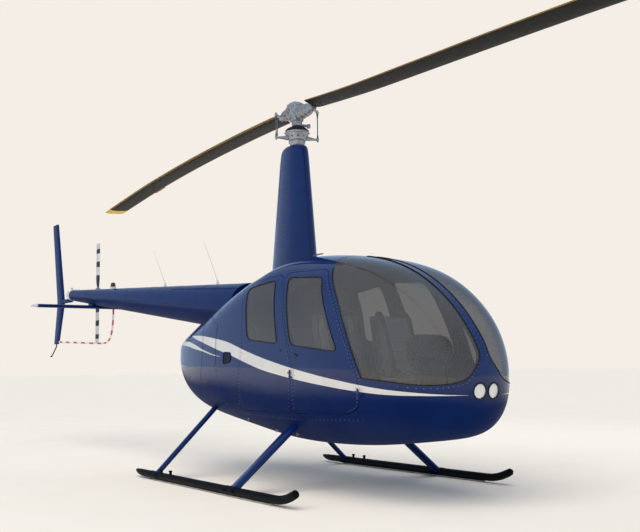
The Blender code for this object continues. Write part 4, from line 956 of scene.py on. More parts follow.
def sealsAndScrews():
    for name, side in sides:
        label, pitch, close = name.title(), screwPitch["door"], screwPitch["screen"]
        for door in ("front", "rear"):
            body = f"{door}_door_{name}"
            pane = bpy.data.objects[f"{door}Window{label}"]
            rim, _ = onSkin(rimOf(pane), 0.0016)
            build(f"{door}Seal{label}", [tube(rim, 0.0055, 10, True, 0.6)], body, "rubber")
            edge = sample(rounded(inset(outlines[door + "Door"], 0.017), 0.06), pitch, True)
            edge = edge[(edge[:, 1] > 0.66) & (edge[:, 1] < 1.74)]
            screws(f"{door}DoorScrews{label}", body, [onSkin(skinSide(edge[:, 0], edge[:, 1],
                side), 0.0)])
        pane = bpy.data.objects[f"windscreen{label}"]
        rim, _ = onSkin(rimOf(pane), 0.0014)
        build(f"windscreenSeal{label}", [tube(rim, 0.0065, 10, True, 0.5)], "airframe", "rubber")
        frameSide = [(1.1, 1.915), (1.18, 1.8), (1.395, 1.485), (1.508, 1.252), (1.586, 1.066),
            (1.672, 0.895)]
        rows = [lineOnSide([(x - 0.004, z - 0.004) for x, z in frameSide], side, close)]
        low = sample([(0.06, 1.005), (0.167, 0.868), (0.297, 0.836), (0.42, 0.832),
            (0.5, 0.847)], close)
        rows.append(onSkin(skinFront(side * low[:, 0], low[:, 1])))
        strip = np.arange(1.06, 1.66, close)
        rows.append(onSkin(skinFront(np.full(len(strip), side * 0.026), strip)))
        roof = np.arange(1.1, 1.8, close)
        rows.append(onSkin(skinTop(roof, np.full(len(roof), side * 0.026))))
        for x0, z0, x1, z1 in ((-0.861, 1.579, -0.398, 1.38), (-0.398, 1.38, -0.429, 1.263)):
            rows.append(lineOnSide([(x0, z0 - 0.016), (x1, z1 - 0.016)], side, pitch))
        access = [(-0.765, 1.397), (-0.732, 1.254), (-0.744, 1.068), (-0.796, 0.882),
            (-0.837, 0.74), (-0.946, 0.65)]
        rows.append(lineOnSide([(x + 0.018, z) for x, z in access], side, pitch))
        rows.append(lineOnSide([(skin["split"] + 0.018, 0.56), (skin["split"] + 0.018, 1.8)],
            side, pitch))
        rows.append(lineOnSide([(-0.055, 0.66), (0.005, 0.86), (0.045, 1.18), (0.03, 1.7)], side,
            pitch))
        rows.append(lineOnSide([(0.852, 0.859), (0.809, 0.756), (0.798, 0.66)], side, pitch))
        rows.append(lineOnSide([(1.6, 0.6), (0.8, 0.575), (-0.2, 0.59)], side, 0.05))
        screws(f"bodyScrews{label}", "airframe", rows)
        seams = []
        for line in (access, [(-0.861, 1.579), (-0.398, 1.38), (-0.429, 1.263), (-0.432, 1.02)],
                [(-0.475, 1.008), (-0.283, 0.99)], [(-0.47, 0.975), (-0.29, 0.962)]):
            points, _ = lineOnSide(line, side, 0.012, 0.0002)
            seams.append(tube(points, 0.0022, 8, False, 0.4))
        for line in ([(0.091, 0.861), (0.301, 0.821), (0.48, 0.733)],
                [(1.093, 0.784), (1.224, 0.741), (1.35, 0.683), (1.491, 0.657)]):
            points, _ = lineOnSide(line, side, 0.012, -0.0004)
            seams.append(tube(points, 0.0016, 8, False, 0.4))
        build(f"panelSeams{label}", seams, "airframe", "seam")
        inlet = sample(rounded([(-0.125, 1.125), (-0.14, 1.04), (-0.281, 1.025),
            (-0.265, 1.133)], 0.03), 0.006, True)
        flat, n = onSkin(skinSide(inlet[:, 0], inlet[:, 1], side), 0.001)
        lip = merged(f"inletLip{label}", [tube(flat, 0.006, 10, True, 0.6)])
        finished(lip, "airframe", "plainPaint")
        # A dark dish just inside the lip stands for the open intake: painted shade, not a hole.
        middle = flat.mean(0)
        rings = [flat, middle + (flat - middle) * 0.97 - n * 0.0004,
            middle + (flat - middle) * 0.05 - n * 0.0004]
        count = len(flat)
        faces = quads(3, count, True) + [range(2 * count, 3 * count)]
        finished(makePiece(f"inletMouth{label}", np.concatenate(rings), faces, closed=False),
            "airframe", "seam")
        slats = []
        for z in (1.05, 1.072, 1.094, 1.114):
            points, _ = lineOnSide([(-0.262, z), (-0.145, z - 0.004)], side, 0.01, 0.0015)
            slats.append(tube(points, 0.0035, 8, False, 0.5))
        build(f"inletSlats{label}", slats, "airframe", "plainPaint")
    print("seals, screws and seams made")


# Radius, and how far the blade ahead and the one behind hang below the hub there.
bladeLine = np.array([(0.0, 0.0, 0.0), (0.15, 0.006, -0.0015), (0.43, 0.03, -0.003),
    (0.72, 0.054, -0.0027), (1.2, 0.087, 0.0022), (2.0, 0.124, 0.022),
    (2.8, 0.16, 0.0566), (3.7, 0.208, 0.113), (4.93, 0.284, 0.2203),
    (5.029, 0.29, 0.2305)])
head = {"linkOut": 0.195, "linkTops": {1: 3.365, -1: 3.318}, "armZ": 3.1038, "mast": 0.04,
    "linkFoot": 3.1165,
    "gripDrop": {1: 0.034, -1: 0.004}, "gripSize": {1: 1.0, -1: 0.92}}


def bladeAxes(way):
    # Out along a blade and towards its leading edge.
    ahead = np.array([math.cos(blade["turn"]), math.sin(blade["turn"]), 0]) * way
    return ahead, np.array([-ahead[1], ahead[0], 0])


def bladePoint(way, radius, offset=0.0, z=None):
    # A point on a blade's hanging line: radius out, offset towards its leading edge.
    radius = np.asarray(radius, float)
    ahead, lead = bladeAxes(way)
    drop = np.interp(radius, bladeLine[:, 0], bladeLine[:, 1 if way > 0 else 2])
    base = np.stack([np.full(radius.shape, mastX), np.zeros(radius.shape),
        blade["hubZ"] - drop if z is None else np.full(radius.shape, z)], -1)
    return base + radius[..., None] * ahead + np.asarray(offset, float)[..., None] * lead


def hexBolt(place, direction, radius, height):
    # A washer, a six-sided head with its corners taken off, and the thread's end above it.
    washer = turned(place, direction, [(-0.001, radius * 1.45), (height * 0.16, radius * 1.45)],
        20)
    nut = turned(place, direction, [(0, radius * 1.15), (height * 0.75, radius * 1.15),
        (height * 0.88, radius * 0.95)], 6)
    end = turned(place, direction, [(0, radius * 0.55), (height * 1.15, radius * 0.55),
        (height * 1.25, radius * 0.42)], 12)
    return [washer, nut, end]


def softBlock(rows, ahead, lead, centre):
    # Rounded rectangles stacked upwards: (height, shift ahead, half along, half across), each
    # x = a |cos t|^0.4, y = b |sin t|^0.4.
    c, s = squarish(40, 0.4)
    return loft([centre + ahead * (shift + a * c[:, None]) + lead * (b * s[:, None]) + up * h
        for h, shift, a, b in rows])


def rotorHead():
    mast = head["mast"]
    build("rotorMast", [turned(mastFoot + up * 2.81, up, [(0, mast), (0.36, mast),
        (0.365, mast * 0.94), (0.4, mast * 0.94), (0.405, mast), (0.4995, mast)], 48)],
        "main_rotor", "steel", "rotor_mast")
    bore = mast + 0.0008
    cup = [(0, bore), (0, 0.058), (0.004, 0.063), (0.01, 0.066), (0.022, 0.07), (0.034, 0.075),
        (0.037, 0.0755), (0.038, 0.073), (0.0425, 0.073), (0.0435, 0.078), (0.0495, 0.078),
        (0.05, 0.075), (0.05, bore)]
    parts = [turned(mastFoot + up * 3.0303, up, cup, 64, True)]
    for out in spokes(8, 22.5, toFront, toPort):
        parts += hexBolt(mastFoot + up * 3.0575 + out * 0.072, out, 0.0045, 0.006)
    build("swashplateFixed", parts, "airframe", "alloy", "swashplate_fixed")

    # The turning half is a bowl that opens upwards to the boot, with round windows in its wall.
    spin = 3.0858
    dish = [(0, 0.074), (0.003, 0.078), (0.01, 0.081), (0.024, 0.087), (0.04, 0.098),
        (0.054, 0.108), (0.06, 0.1115), (0.062, 0.115), (0.076, 0.1155), (0.079, 0.113)]
    parts = [turned(mastFoot + up * spin, up, dish, 72)]
    windows = []
    for flat in spokes(10, 8, toFront, toPort):
        out = flat - up * 0.55
        out /= np.linalg.norm(out)
        at = mastFoot + up * (spin + 0.031) + flat * 0.0905
        parts.append(turned(at, out, [(-0.006, 0.0085), (0.003, 0.0085), (0.003, 0.0115),
            (-0.006, 0.0125)], 20, True))
        windows.append(turned(at, out, [(-0.005, 0.0087), (0.0014, 0.0087)], 20))
        flat = flat * math.cos(0.31) + np.cross(up, flat) * math.sin(0.31)
        parts += hexBolt(mastFoot + up * (spin + 0.069) + flat * 0.115, flat, 0.004, 0.005)
    build("swashplateWindows", windows, "main_rotor", "rubber")
    for way in (1, -1):
        a = bladePoint(way, 0.03, 0.07, head["armZ"] + 0.006)
        b = bladePoint(way, 0.05, head["linkOut"], head["armZ"])
        path = a + (b - a) * np.linspace(0, 1, 12)[:, None]
        parts.append(tube(path, np.interp(np.linspace(0, 1, 12), [0, .2, .45, .85, 1],
            [.027, .025, .018, .0115, .011]), 18, False, 0.85))
        parts.append(turned(b - up * 0.013, up, [(0, 0.01), (0.003, 0.012), (0.023, 0.012),
            (0.0255, 0.01)], 24))
        parts += hexBolt(b - up * 0.013, -up, 0.0055, 0.009)
    build("swashplateTurning", parts, "main_rotor", "alloy", "swashplate_rotating")

    # A flat rubber dome with two shallow folds closes the bowl round the mast.
    folds = [(0, 0.105), (0.003, 0.1095), (0.008, 0.111), (0.014, 0.109), (0.02, 0.103),
        (0.025, 0.096), (0.028, 0.0955), (0.035, 0.083), (0.04, 0.071), (0.043, 0.07),
        (0.048, 0.055), (0.051, 0.047), (0.057, 0.046), (0.059, 0.042)]
    build("mastBoot", [turned(mastFoot + up * (spin + 0.0792), up, folds, 72)], "main_rotor",
        "rubber", "mast_boot")

    ahead, lead = bladeAxes(1)
    hub = mastFoot + up * blade["hubZ"]
    block = [(-0.139, 0.0, .03, .03), (-0.137, 0.0, .041, .041), (-0.108, 0.0, .042, .042),
        (-0.1, -.004, .054, .052), (-0.07, -.02, .068, .058), (-0.04, -.032, .08, .062),
        (-0.034, -.033, .086, .066), (-0.02, -.034, .087, .067), (-0.014, -.034, .082, .063),
        (0.03, -.032, .08, .062), (0.048, -.03, .074, .058), (0.052, -.03, .078, .061),
        (0.066, -.03, .076, .059), (0.071, -.03, .066, .052), (0.08, -.03, .056, .046),
        (0.086, -.03, .04, .034)]
    pin = hub - ahead * 0.03
    parts = [softBlock(block, ahead, lead, hub)]
    parts += hexBolt(pin + up * 0.084, up, 0.022, 0.005)
    for out in (lead, -lead):
        parts.append(turned(pin + out * 0.045, out,
            [(0, 0.044), (0.02, 0.044), (0.026, 0.038), (0.03, 0.031)], 40))
        parts += hexBolt(pin + out * 0.074, out, 0.019, 0.018)
        for around in spokes(6, 30, ahead, up):
            parts += hexBolt(pin + out * 0.068 + around * 0.034, out, 0.004, 0.005)
        for shift, height in ((-.092, -.028), (-.088, .03), (.03, -.028), (.028, .034),
                (-.03, -.075)):
            parts += hexBolt(hub + ahead * shift + out * 0.06 + up * height, out, 0.007, 0.006)
    for around in spokes(8, 22.5, ahead, lead * 0.8):
        parts += hexBolt(pin + up * 0.066 + around * 0.058, up, 0.0045, 0.006)
    # A short arm with a roller that stops the hub's tilt at rest.
    stop = mastFoot + up * 3.232
    out = np.array([0.5, 0.86, 0.0]) / math.hypot(0.5, 0.86)
    parts.append(tube(stop + out * np.linspace(0.03, 0.105, 8)[:, None] + up
        * np.linspace(0, -0.008, 8)[:, None], 0.013, 16))
    parts.append(turned(stop + out * 0.11 - up * 0.028, up, [(0, 0.013), (0.003, 0.0165),
        (0.035, 0.0165), (0.038, 0.013)], 28))
    build("rotorHub", parts, "main_rotor", "alloy", "rotor_hub")

    for way, label in ((1, "front"), (-1, "rear")):
        # Each grip is a big round housing that starts at the hub and hangs a little low.
        low = head["gripDrop"][way]
        start, root = bladePoint(way, 0.07) - up * low, bladePoint(way, 0.302) - up * low * 0.35
        along = (root - start) / np.linalg.norm(root - start)
        side = np.array([-along[1], along[0], 0])
        side /= np.linalg.norm(side)
        square = np.cross(along, side)
        big = head["gripSize"][way]
        sleeve = [(-0.035, 0.04), (-0.004, 0.042), (0, 0.054), (0.004, 0.062), (0.022, 0.063),
            (0.026, 0.056), (0.07, 0.054), (0.074, 0.06), (0.094, 0.06), (0.098, 0.053),
            (0.118, 0.051), (0.122, 0.055), (0.136, 0.054), (0.14, 0.047), (0.165, 0.041),
            (0.19, 0.035), (0.215, 0.031), (0.2315, 0.029)]
        parts = [turned(start, along, [(h, r * big) for h, r in sleeve], 64)]
        for around in spokes(12, 0, side, square):
            parts += hexBolt(start + along * 0.0245 + around * 0.058 * big, along, 0.004, 0.0032)
            parts += hexBolt(start + along * 0.084 + around * 0.0592 * big, around, 0.0036, 0.0026)
            parts += hexBolt(start + along * 0.129 + around * 0.0538 * big, around, 0.003, 0.0022)
        hornZ = head["linkTops"][way]
        horn = curveThrough([start + along * 0.08 + square * 0.02,
            start + along * 0.085 + side * way * 0.045 + square * 0.03,
            bladePoint(way, 0.125, 0.105, hornZ + 0.01), bladePoint(way, 0.085, 0.155,
            hornZ + 0.002), bladePoint(way, 0.05, head["linkOut"], hornZ)], 34)
        parts.append(tube(horn, np.interp(np.linspace(0, 1, 34), [0, .3, .7, 1],
            [.034, .026, .015, .0105]), 20, False, 0.6))
        tip = bladePoint(way, 0.05, head["linkOut"], hornZ)
        parts.append(turned(tip - up * 0.0125, up, [(0, 0.011), (0.003, 0.0135), (0.024, 0.0135),
            (0.027, 0.011)], 28))
        parts += hexBolt(tip + up * 0.0145, up, 0.0065, 0.009)
        for reach in (0.165, 0.205):
            at = start + along * reach
            for facing in (1, -1):
                parts += hexBolt(at + square * facing * 0.035 * big, square * facing, 0.0075,
                    0.008)
        build(f"bladeGrip{label.title()}", parts, "main_rotor", "alloy", f"blade_grip_{label}")

        foot = bladePoint(way, 0.05, head["linkOut"], head["linkFoot"])
        top = hornZ - 0.013 - head["linkFoot"]
        rod = [(0, 0.008), (0.014, 0.0085), (0.018, 0.0062), (0.024, 0.006), (0.0245, 0.0075),
            (0.0325, 0.0075), (0.033, 0.0048), (top - 0.033, 0.0048), (top - 0.0325, 0.0075),
            (top - 0.0245, 0.0075), (top - 0.024, 0.006), (top - 0.018, 0.0062),
            (top - 0.014, 0.0085), (top, 0.008)]
        parts = [turned(foot, up, rod, 20)]
        for z in (0.008, top - 0.008):
            parts.append(turned(foot + up * z - ahead * 0.008, ahead,
                [(0, 0.008), (0.002, 0.0095), (0.014, 0.0095), (0.016, 0.008)], 24))
        if way < 0:
            second = foot + ahead * 0.026 - up * 0.002
            parts.append(turned(second, up, [(0, 0.0042), (0.15, 0.0042), (0.155, 0)], 16))
            for z in (0.006, 0.145):
                parts.append(turned(second - ahead * 0.026 + up * z, ahead,
                    [(0, 0.0045), (0.028, 0.0045)], 12))
        build(f"pitchLink{label.title()}", parts, "main_rotor", "rod", f"pitch_link_{label}")
    print("rotor head made")


def halfThick(c, thick):
    # The usual four-term curve of a symmetric section, at a share of the chord.
    return 5 * thick * (0.2969 * np.sqrt(c) - 0.126 * c - 0.3516 * c ** 2 + 0.2843 * c ** 3
        - 0.1015 * c ** 4)


def aerofoil(count, thick, chord):
    # Closed outline of a symmetric section, x along the chord, its trailing edge 2.4 mm thick.
    c = 0.5 * (1 - np.cos(np.pi * np.arange(count + 1) / count))
    y = halfThick(c, thick) + 0.0012 * c
    return np.concatenate([np.stack([c * chord, y], -1), np.stack([c * chord, -y], -1)[1:][::-1]])


def wing(stations, steps=60, count=18):
    # Aerofoil sections between stations (leading point, trailing point, thickness, up).
    packed = np.array([np.hstack(station) for station in stations], float)
    at = lengths((packed[:, :3] + packed[:, 3:6]) / 2)
    rings = []
    for row in between(np.unique(np.concatenate([at, np.linspace(0, at[-1], steps)])), at, packed):
        outline = aerofoil(count, row[6], 1.0)
        rings.append(row[:3] + outline[:, :1] * (row[3:6] - row[:3]) + outline[:, 1:] * row[7:10])
    return loft(rings)


def mainBlades():
    # Radius, share of the chord ahead of the line and behind it, thickness.
    shares = np.array([(0.29, .2, .12, .026), (0.32, .27, .22, .03), (0.36, .3, .46, .032),
        (0.41, .3, .68, .032), (0.44, .3, .7, .032), (2.0, .3, .7, .032),
        (2.8, .3, .7, .031), (4.93, .3, .7, .03), (5.0, .29, .68, .024),
        (5.029, .24, .56, .016)])
    radii = np.unique(np.concatenate([shares[:, 0], np.linspace(0.29, 5.029, 96)]))
    # The drop curve smoothed: a cubic through the measured places.
    dense = curveThrough(bladeLine, 400)
    for way, label in ((1, "front"), (-1, "rear")):
        column = 1 if way > 0 else 2
        drop = np.interp(radii, dense[:, 0], dense[:, column])
        ahead, lead = bladeAxes(way)
        slope = np.gradient(drop, radii)
        rings = []
        for r, d, m in zip(radii, drop, slope):
            before, behind, thick = (np.interp(r, shares[:, 0], shares[:, k]) for k in (1, 2, 3))
            chord = blade["chord"] * (before + behind)
            middle = mastFoot + up * (blade["hubZ"] - d) + ahead * r
            square = up + ahead * m
            square /= np.linalg.norm(square)
            outline = aerofoil(18, thick, chord)
            rings.append(middle + lead * (blade["chord"] * before - outline[:, :1]) + square
                * outline[:, 1:])
        parts = [loft(rings)]
        for r in (0.35, 0.4, 0.46):
            at = bladePoint(way, r, 0.022)
            for facing in (1, -1):
                parts += hexBolt(at + up * facing * 0.0135, up * facing, 0.006, 0.005)
        tab = []
        for r in np.linspace(3.55, 3.85, 6):
            d = np.interp(r, radii, drop)
            edge = (mastFoot + up * (blade["hubZ"] - d) + ahead * r
                - lead * blade["chord"] * 0.695)
            tab.append([edge + up * 0.0012, edge - lead * 0.02 + up * 0.0008,
                edge - lead * 0.02 - up * 0.0008, edge - up * 0.0012])
        parts.append(loft(tab))
        build(f"mainBlade{label.title()}", parts, "main_rotor", "blade", f"main_blade_{label}")
    print("main blades made")


def mastFairing():
    # Ellipses drawn out to a finer tail, x = front cos t or -tail cos t, y = half sin t, in a
    # smooth curve from the roof to the top, with a rolled rim where they end.
    stations = np.array([(1.7, .262, -.44, .132), (1.95, .248, -.412, .126),
        (2.45, .196, -.342, .106), (2.9, .146, -.276, .088), (2.985, .132, -.256, .083),
        (3.008, .122, -.243, .08), (3.022, .108, -.222, .076), (3.03, .09, -.195, .072)])
    z = np.unique(np.concatenate([stations[:, 0], np.linspace(1.7, 2.9, 30),
        np.linspace(2.9, 3.03, 18)]))
    _, front, tail, half = between(z, stations[:, 0], stations).T
    c, s = circle(72)
    x = np.where(c > 0, front[:, None] * c, -tail[:, None] * c)
    y = half[:, None] * np.where(c > 0, s, np.sign(s) * np.abs(s) ** 1.25)
    points = np.stack([mastX + x, y, np.broadcast_to(z[:, None], x.shape)], -1)
    piece = merged("mastFairing", [loft(points)])
    carve(piece, "DIFFERENCE", merged("mastRoom", [turned(mastFoot, up,
        [(2.8, 0.0412), (3.2, 0.0412)], 48)]))
    finished(piece, "airframe", "fairingPaint", ["mast_fairing"])
    # Rows of screws down the fairing's seams.
    rows = []
    zz = np.arange(2.02, 2.97, 0.045)
    _, front, tail, half = between(zz, stations[:, 0], stations).T
    a = math.radians(100)
    for way in (1, -1):
        n = np.tile([0.0, way, 0.09], (len(zz), 1))
        rows.append((np.stack([mastX - tail * math.cos(a), way * half * math.sin(a) ** 1.25, zz],
            -1), n / np.linalg.norm(n, axis=1)[:, None]))
    screws("fairingScrews", "airframe", rows)
    print("mast fairing made")


# x from the mast, height and radius of the tail cone's ends.
cone = {"front": (-0.85, 1.577, 0.247), "rear": (-5.8, 2.0438, 0.0757)}


def coneEnds():
    (fx, fz, _), (rx, rz, _) = cone["front"], cone["rear"]
    return mastFoot + [fx, 0, fz], mastFoot + [rx, 0, rz]


def coneRadius(t):
    return cone["front"][2] + (cone["rear"][2] - cone["front"][2]) * t


def tailBoom():
    # A rolled sheet cone with a small step at each lap joint: r(t) falls in a straight line,
    # and each bay's front edge stands 1 mm proud of the one before.
    start, end = coneEnds()
    along = end - start
    length = np.linalg.norm(along)
    joints = [0.0, 0.16, 0.3, 0.44, 0.58, 0.72, 0.86, 1.0]
    profile = [(0, 0)]
    for a, b in zip(joints, joints[1:]):
        profile.append((a * length + 0.0005, coneRadius(a) + 0.0008))
        profile.append((b * length - 0.0005, coneRadius(b) - 0.0002))
    profile.append((length, coneRadius(1.0)))
    profile.append((length, 0))
    boom = merged("tailBoom", [turned(start, along, profile, 96)], 12.0)
    finished(boom, "airframe", "plainPaint", ["tail_cone"])


tail = {"centre": (-5.893, 0.388, 2.09), "radius": 0.7365}


def tailBlade():
    # Gloss paint in bands across the blade, dark at the root and pale at the tip.
    made, add, link = newMaterial("tailBladeBands", IOR=1.5, Roughness=0.4)
    where = add("TexCoord", out="Object")
    x, y, z = tail["centre"]
    place = add("Mapping", {"Vector": where, "Location": (-mastX - x, -y, -z)})
    reach = add("VectorMath", {0: place}, "Value", operation="LENGTH")
    share = add("Math", {0: reach, 1: tail["radius"]}, operation="DIVIDE")
    bands = add("ValToRGB", {0: share}, stops=[(0.0, "#3a3c40"), (0.14, "#17181a"),
        (0.37, "#e4e2de"), (0.53, "#141517"), (0.64, "#e8e6e2"), (0.8, "#141517"),
        (0.89, "#d4d2ce")])
    bands.node.color_ramp.interpolation = "CONSTANT"
    wear = add("TexNoise", {"Vector": where, "Scale": 30.0, "Detail": 5.0})
    dull = add("ValToRGB", {0: wear}, stops=[(0.2, "#d8d8d8"), (0.8, "#ffffff")])
    link(add("Mix", {0: 1.0, 6: bands, 7: dull}, 2, data_type="RGBA", blend_type="MULTIPLY"),
        "Base Color")
    link(add("Bump", {"Height": wear, "Strength": 0.15, "Distance": 0.0003}), "Normal")
    return made


def guardPaint():
    # Red dashes on white along the guard: the sum of x and z falls steadily down its bend.
    made, add, link = newMaterial("guardDashes", IOR=1.5, Roughness=0.4)
    where = add("TexCoord", out="Object")
    x, z = (add("SeparateXYZ", {0: where}, k) for k in (0, 2))
    along = add("Math", {0: x, 1: z}, operation="ADD")
    count = add("Math", {0: along, 1: 0.17}, operation="DIVIDE")
    part = add("Math", {0: count}, operation="FRACT")
    on = add("Math", {0: part, 1: 0.5}, operation="LESS_THAN")
    wear = add("TexNoise", {"Vector": where, "Scale": 30.0, "Detail": 4.0})
    red = add("ValToRGB", {0: wear}, stops=[(0.3, "#c04a3c"), (0.7, "#cf5f50")])
    white = add("ValToRGB", {0: wear}, stops=[(0.3, "#e9e1da"), (0.7, "#f3ece6")])
    link(add("Mix", {0: on, 6: white, 7: red}, 2, data_type="RGBA"), "Base Color")
    link(add("Bump", {"Height": wear, "Strength": 0.15, "Distance": 0.0003}), "Normal")
    return made


def tailUnit():
    finishes["tailBands"] = (tailBlade(), "light_grey")
    finishes["guardBands"] = (guardPaint(), "red_white")
    start, end = coneEnds()
    along = (end - start) / np.linalg.norm(end - start)
    centre = mastFoot + tail["centre"]
    gearStart = end + along * 0.0003
    r0 = cone["rear"][2]
    body = [(0, r0 + 0.004), (0.01, r0 + 0.004), (0.012, r0 - 0.003), (0.06, r0 - 0.004),
        (0.075, 0.07), (0.11, 0.066), (0.114, 0.069), (0.124, 0.068), (0.128, 0.062),
        (0.165, 0.056), (0.176, 0.05), (0.182, 0.034), (0.185, 0)]
    output = np.array([centre[0], 0, centre[2]])
    sleeve = [(0, 0.052), (0.09, 0.051), (0.096, 0.054), (0.108, 0.054), (0.114, 0.046),
        (0.17, 0.042), (0.176, 0.046), (0.19, 0.045), (0.196, 0.04), (0.246, 0.037),
        (0.2499, 0.033)]
    side = toPort
    parts = [turned(gearStart, along, body, 48), turned(output, side, sleeve, 48)]
    for around, flat in zip(spokes(10, 0, toPort, up), spokes(10, 0, toFront, up)):
        parts += hexBolt(gearStart + along * 0.01 + around * 0.069, along, 0.004, 0.006)
        parts += hexBolt(output + side * 0.108 + flat * 0.047, side, 0.0035, 0.005)
    parts.append(turned(output - side * 0.052, -side, [(0, 0.024), (0.006, 0.024), (0.009, 0.02)],
        28))
    parts.append(turned(output + up * 0.05, up, [(0, 0.014), (0.012, 0.014), (0.014, 0.018),
        (0.022, 0.018), (0.024, 0)], 24))
    build("tailGearbox", parts, "airframe", "greyPaint", "tail_gearbox")

    shaft = output + side * 0.2505
    parts = [turned(shaft, side, [(0, 0.019), (0.05, 0.019), (0.052, 0.03), (0.06, 0.03),
        (0.062, 0.02), (0.095, 0.02), (0.16, 0.02), (0.168, 0.03), (0.1745, 0.03),
        (0.1775, 0.024)], 36)]
    yoke = [(-0.085, 0.026), (-0.08, 0.03), (-0.058, 0.03), (-0.052, 0.025), (-0.02, 0.026),
        (0.02, 0.026), (0.052, 0.025), (0.058, 0.03), (0.08, 0.03), (0.085, 0.026)]
    parts.append(turned(centre, up, yoke, 36))
    for way in (1, -1):
        parts += hexBolt(centre + up * way * 0.069 + side * 0.03, side, 0.009, 0.01)
        parts += hexBolt(centre + up * way * 0.035 + side * 0.026, side, 0.006, 0.008)
        # A short link turns each blade from the sliding ring on the shaft.
        foot = shaft + side * 0.056 + np.array([way * 0.03, 0, way * 0.012])
        top = centre + up * way * 0.095 + np.array([way * 0.04, -0.012, 0])
        parts.append(tube(np.linspace(foot, top, 12), np.interp(np.linspace(0, 1, 12),
            [0, .12, .13, .87, .88, 1], [.0085, .0085, .005, .005, .0085, .0085]), 12))
    build("tailRotorHub", parts, "tail_rotor", "alloy", "tail_rotor_hub")
    for way, label in ((1, "upper"), (-1, "lower")):
        table = np.array([(0.0853, .066, .024), (0.11, .07, .022), (0.15, .1, .018),
            (0.19, .13, .015), (0.7, .13, .0135), (0.728, .126, .012), (0.7365, .108, .008)])
        radii = np.unique(np.concatenate([table[:, 0], np.linspace(0.0853, 0.7365, 26)]))
        rings = []
        for r in radii:
            chord, thick = (np.interp(r, table[:, 0], table[:, k]) for k in (1, 2))
            outline = aerofoil(14, thick, chord)
            middle = centre + up * way * r
            rings.append(middle + toFront * way * (chord / 2 - outline[:, :1]) + side
                * outline[:, 1:])
        parts = [loft(rings)]
        for r in (0.115, 0.145):
            for facing in (1, -1):
                parts += hexBolt(centre + up * way * r + side * facing * 0.009, side * facing,
                    0.005, 0.005)
        build(f"tailBlade{label.title()}", parts, "tail_rotor", "tailBands", f"tail_blade_{label}")

    fin = [(1.37, -6.398, -6.59, .014), (1.378, -6.384, -6.598, .024),
        (1.4, -6.373, -6.594, .027), (1.94, -6.19, -6.49, .04),
        (2.02, -6.195, -6.498, .04), (3.14, -6.494, -6.735, .027),
        (3.158, -6.502, -6.737, .022), (3.165, -6.516, -6.732, .012)]
    stations = [((mastX + lead, 0, z), (mastX + trail, 0, z), thick, (0, 1, 0)) for z, lead, trail,
        thick in fin]
    build("tailFin", [wing(stations, 50, 20)], "airframe", "finPaint", "tail_fin")
    z = np.concatenate([np.arange(1.42, 1.94, 0.045), np.arange(2.06, 3.12, 0.045)])
    lead, trail, thick = (np.interp(z, [1.37, 1.94, 2.02, 3.165], row) for row in (
        (-6.38, -6.19, -6.195, -6.5), (-6.6, -6.49, -6.498, -6.74), (.026, .04, .04, .026)))
    rows = []
    for share in (0.3, 0.62):
        x = lead + (trail - lead) * share
        half = halfThick(share, thick) + 0.0012 * share
        for facing in (1, -1):
            rows.append((np.stack([mastX + x, facing * half, z], -1),
                np.tile([0.0, facing, 0.0], (len(z), 1))))
    screws("finRivets", "airframe", rows, radius=0.0032, height=0.001)

    bracket = []
    for x, y, half in ((-6.29, .012, .02), (-6.285, .022, .0265), (-6.1, .024, .0275),
            (-6.0, .024, .0275), (-5.9, .024, .0275), (-5.885, .02, .024)):
        c, s = squarish(28, 0.35)
        bracket.append(np.stack([np.full(28, mastX + x), y * c, 1.9825 + half * s], -1))
    parts = [loft(bracket)]
    for x in (-6.24, -6.19, -6.02, -5.96):
        for facing in (1, -1):
            parts += hexBolt(mastFoot + [x, facing * 0.0245, 1.9825], toPort * facing, 0.006,
                0.006)
    build("finBracket", parts, "airframe", "plainPaint", "fin_bracket")

    plane = {"x": -5.03, "z": 1.83, "chord": 0.24, "thick": 0.044, "span": 0.83}

    def planeEnds(table):
        return [((mastX + plane["x"] + plane["chord"] / 2 * share + extra, y, plane["z"]),
            (mastX + plane["x"] - plane["chord"] / 2 * share - extra, y, plane["z"]),
            plane["thick"] * share + extra, (0, 0, 1)) for y, share, extra in table]

    span = plane["span"]
    parts = [wing(planeEnds([(-span + 0.026, 1.0, 0), (span - 0.026, 1.0, 0)]), 40, 20)]
    c, s = squarish(36, 0.4)
    saddle = []
    for z, x, y in ((plane["z"] + 0.012, .1, .062), (plane["z"] + 0.03, .096, .055),
            (plane["z"] + 0.085, .088, .046), (plane["z"] + 0.1, .08, .04)):
        saddle.append(np.stack([mastX + plane["x"] + x * c, y * s, np.full(36, z)], -1))
    parts.append(loft(saddle))
    for x in (-0.06, 0, 0.06):
        for facing in (1, -1):
            parts += hexBolt(mastFoot + [plane["x"] + x, facing * 0.052, plane["z"] + 0.05],
                (0, facing, 0.15), 0.005, 0.005)
    build("stabilizerPlane", parts, "airframe", "plainPaint", "stabilizer")
    caps = []
    for facing in (1, -1):
        caps.append(wing(planeEnds([(facing * (span - 0.03), 1.0, 0.0012),
            (facing * (span - 0.01), 0.97, 0.0012), (facing * (span - 0.003), 0.92, 0),
            (facing * span, 0.84, -0.004)]), 10, 20))
    build("stabilizerCaps", caps, "airframe", "greyPaint")
    y = np.concatenate([np.arange(0.1, 0.78, 0.05), -np.arange(0.1, 0.78, 0.05)])
    rows = []
    for share in (0.3, 0.65):
        half = halfThick(share, plane["thick"])
        x = np.full(len(y), mastX + plane["x"] + plane["chord"] * (0.5 - share))
        for facing in (1, -1):
            rows.append((np.stack([x, y, np.full(len(y), plane["z"] + facing * half)], -1),
                np.tile([0.0, 0, facing], (len(y), 1))))
    screws("stabilizerRivets", "airframe", rows, radius=0.0032, height=0.001)

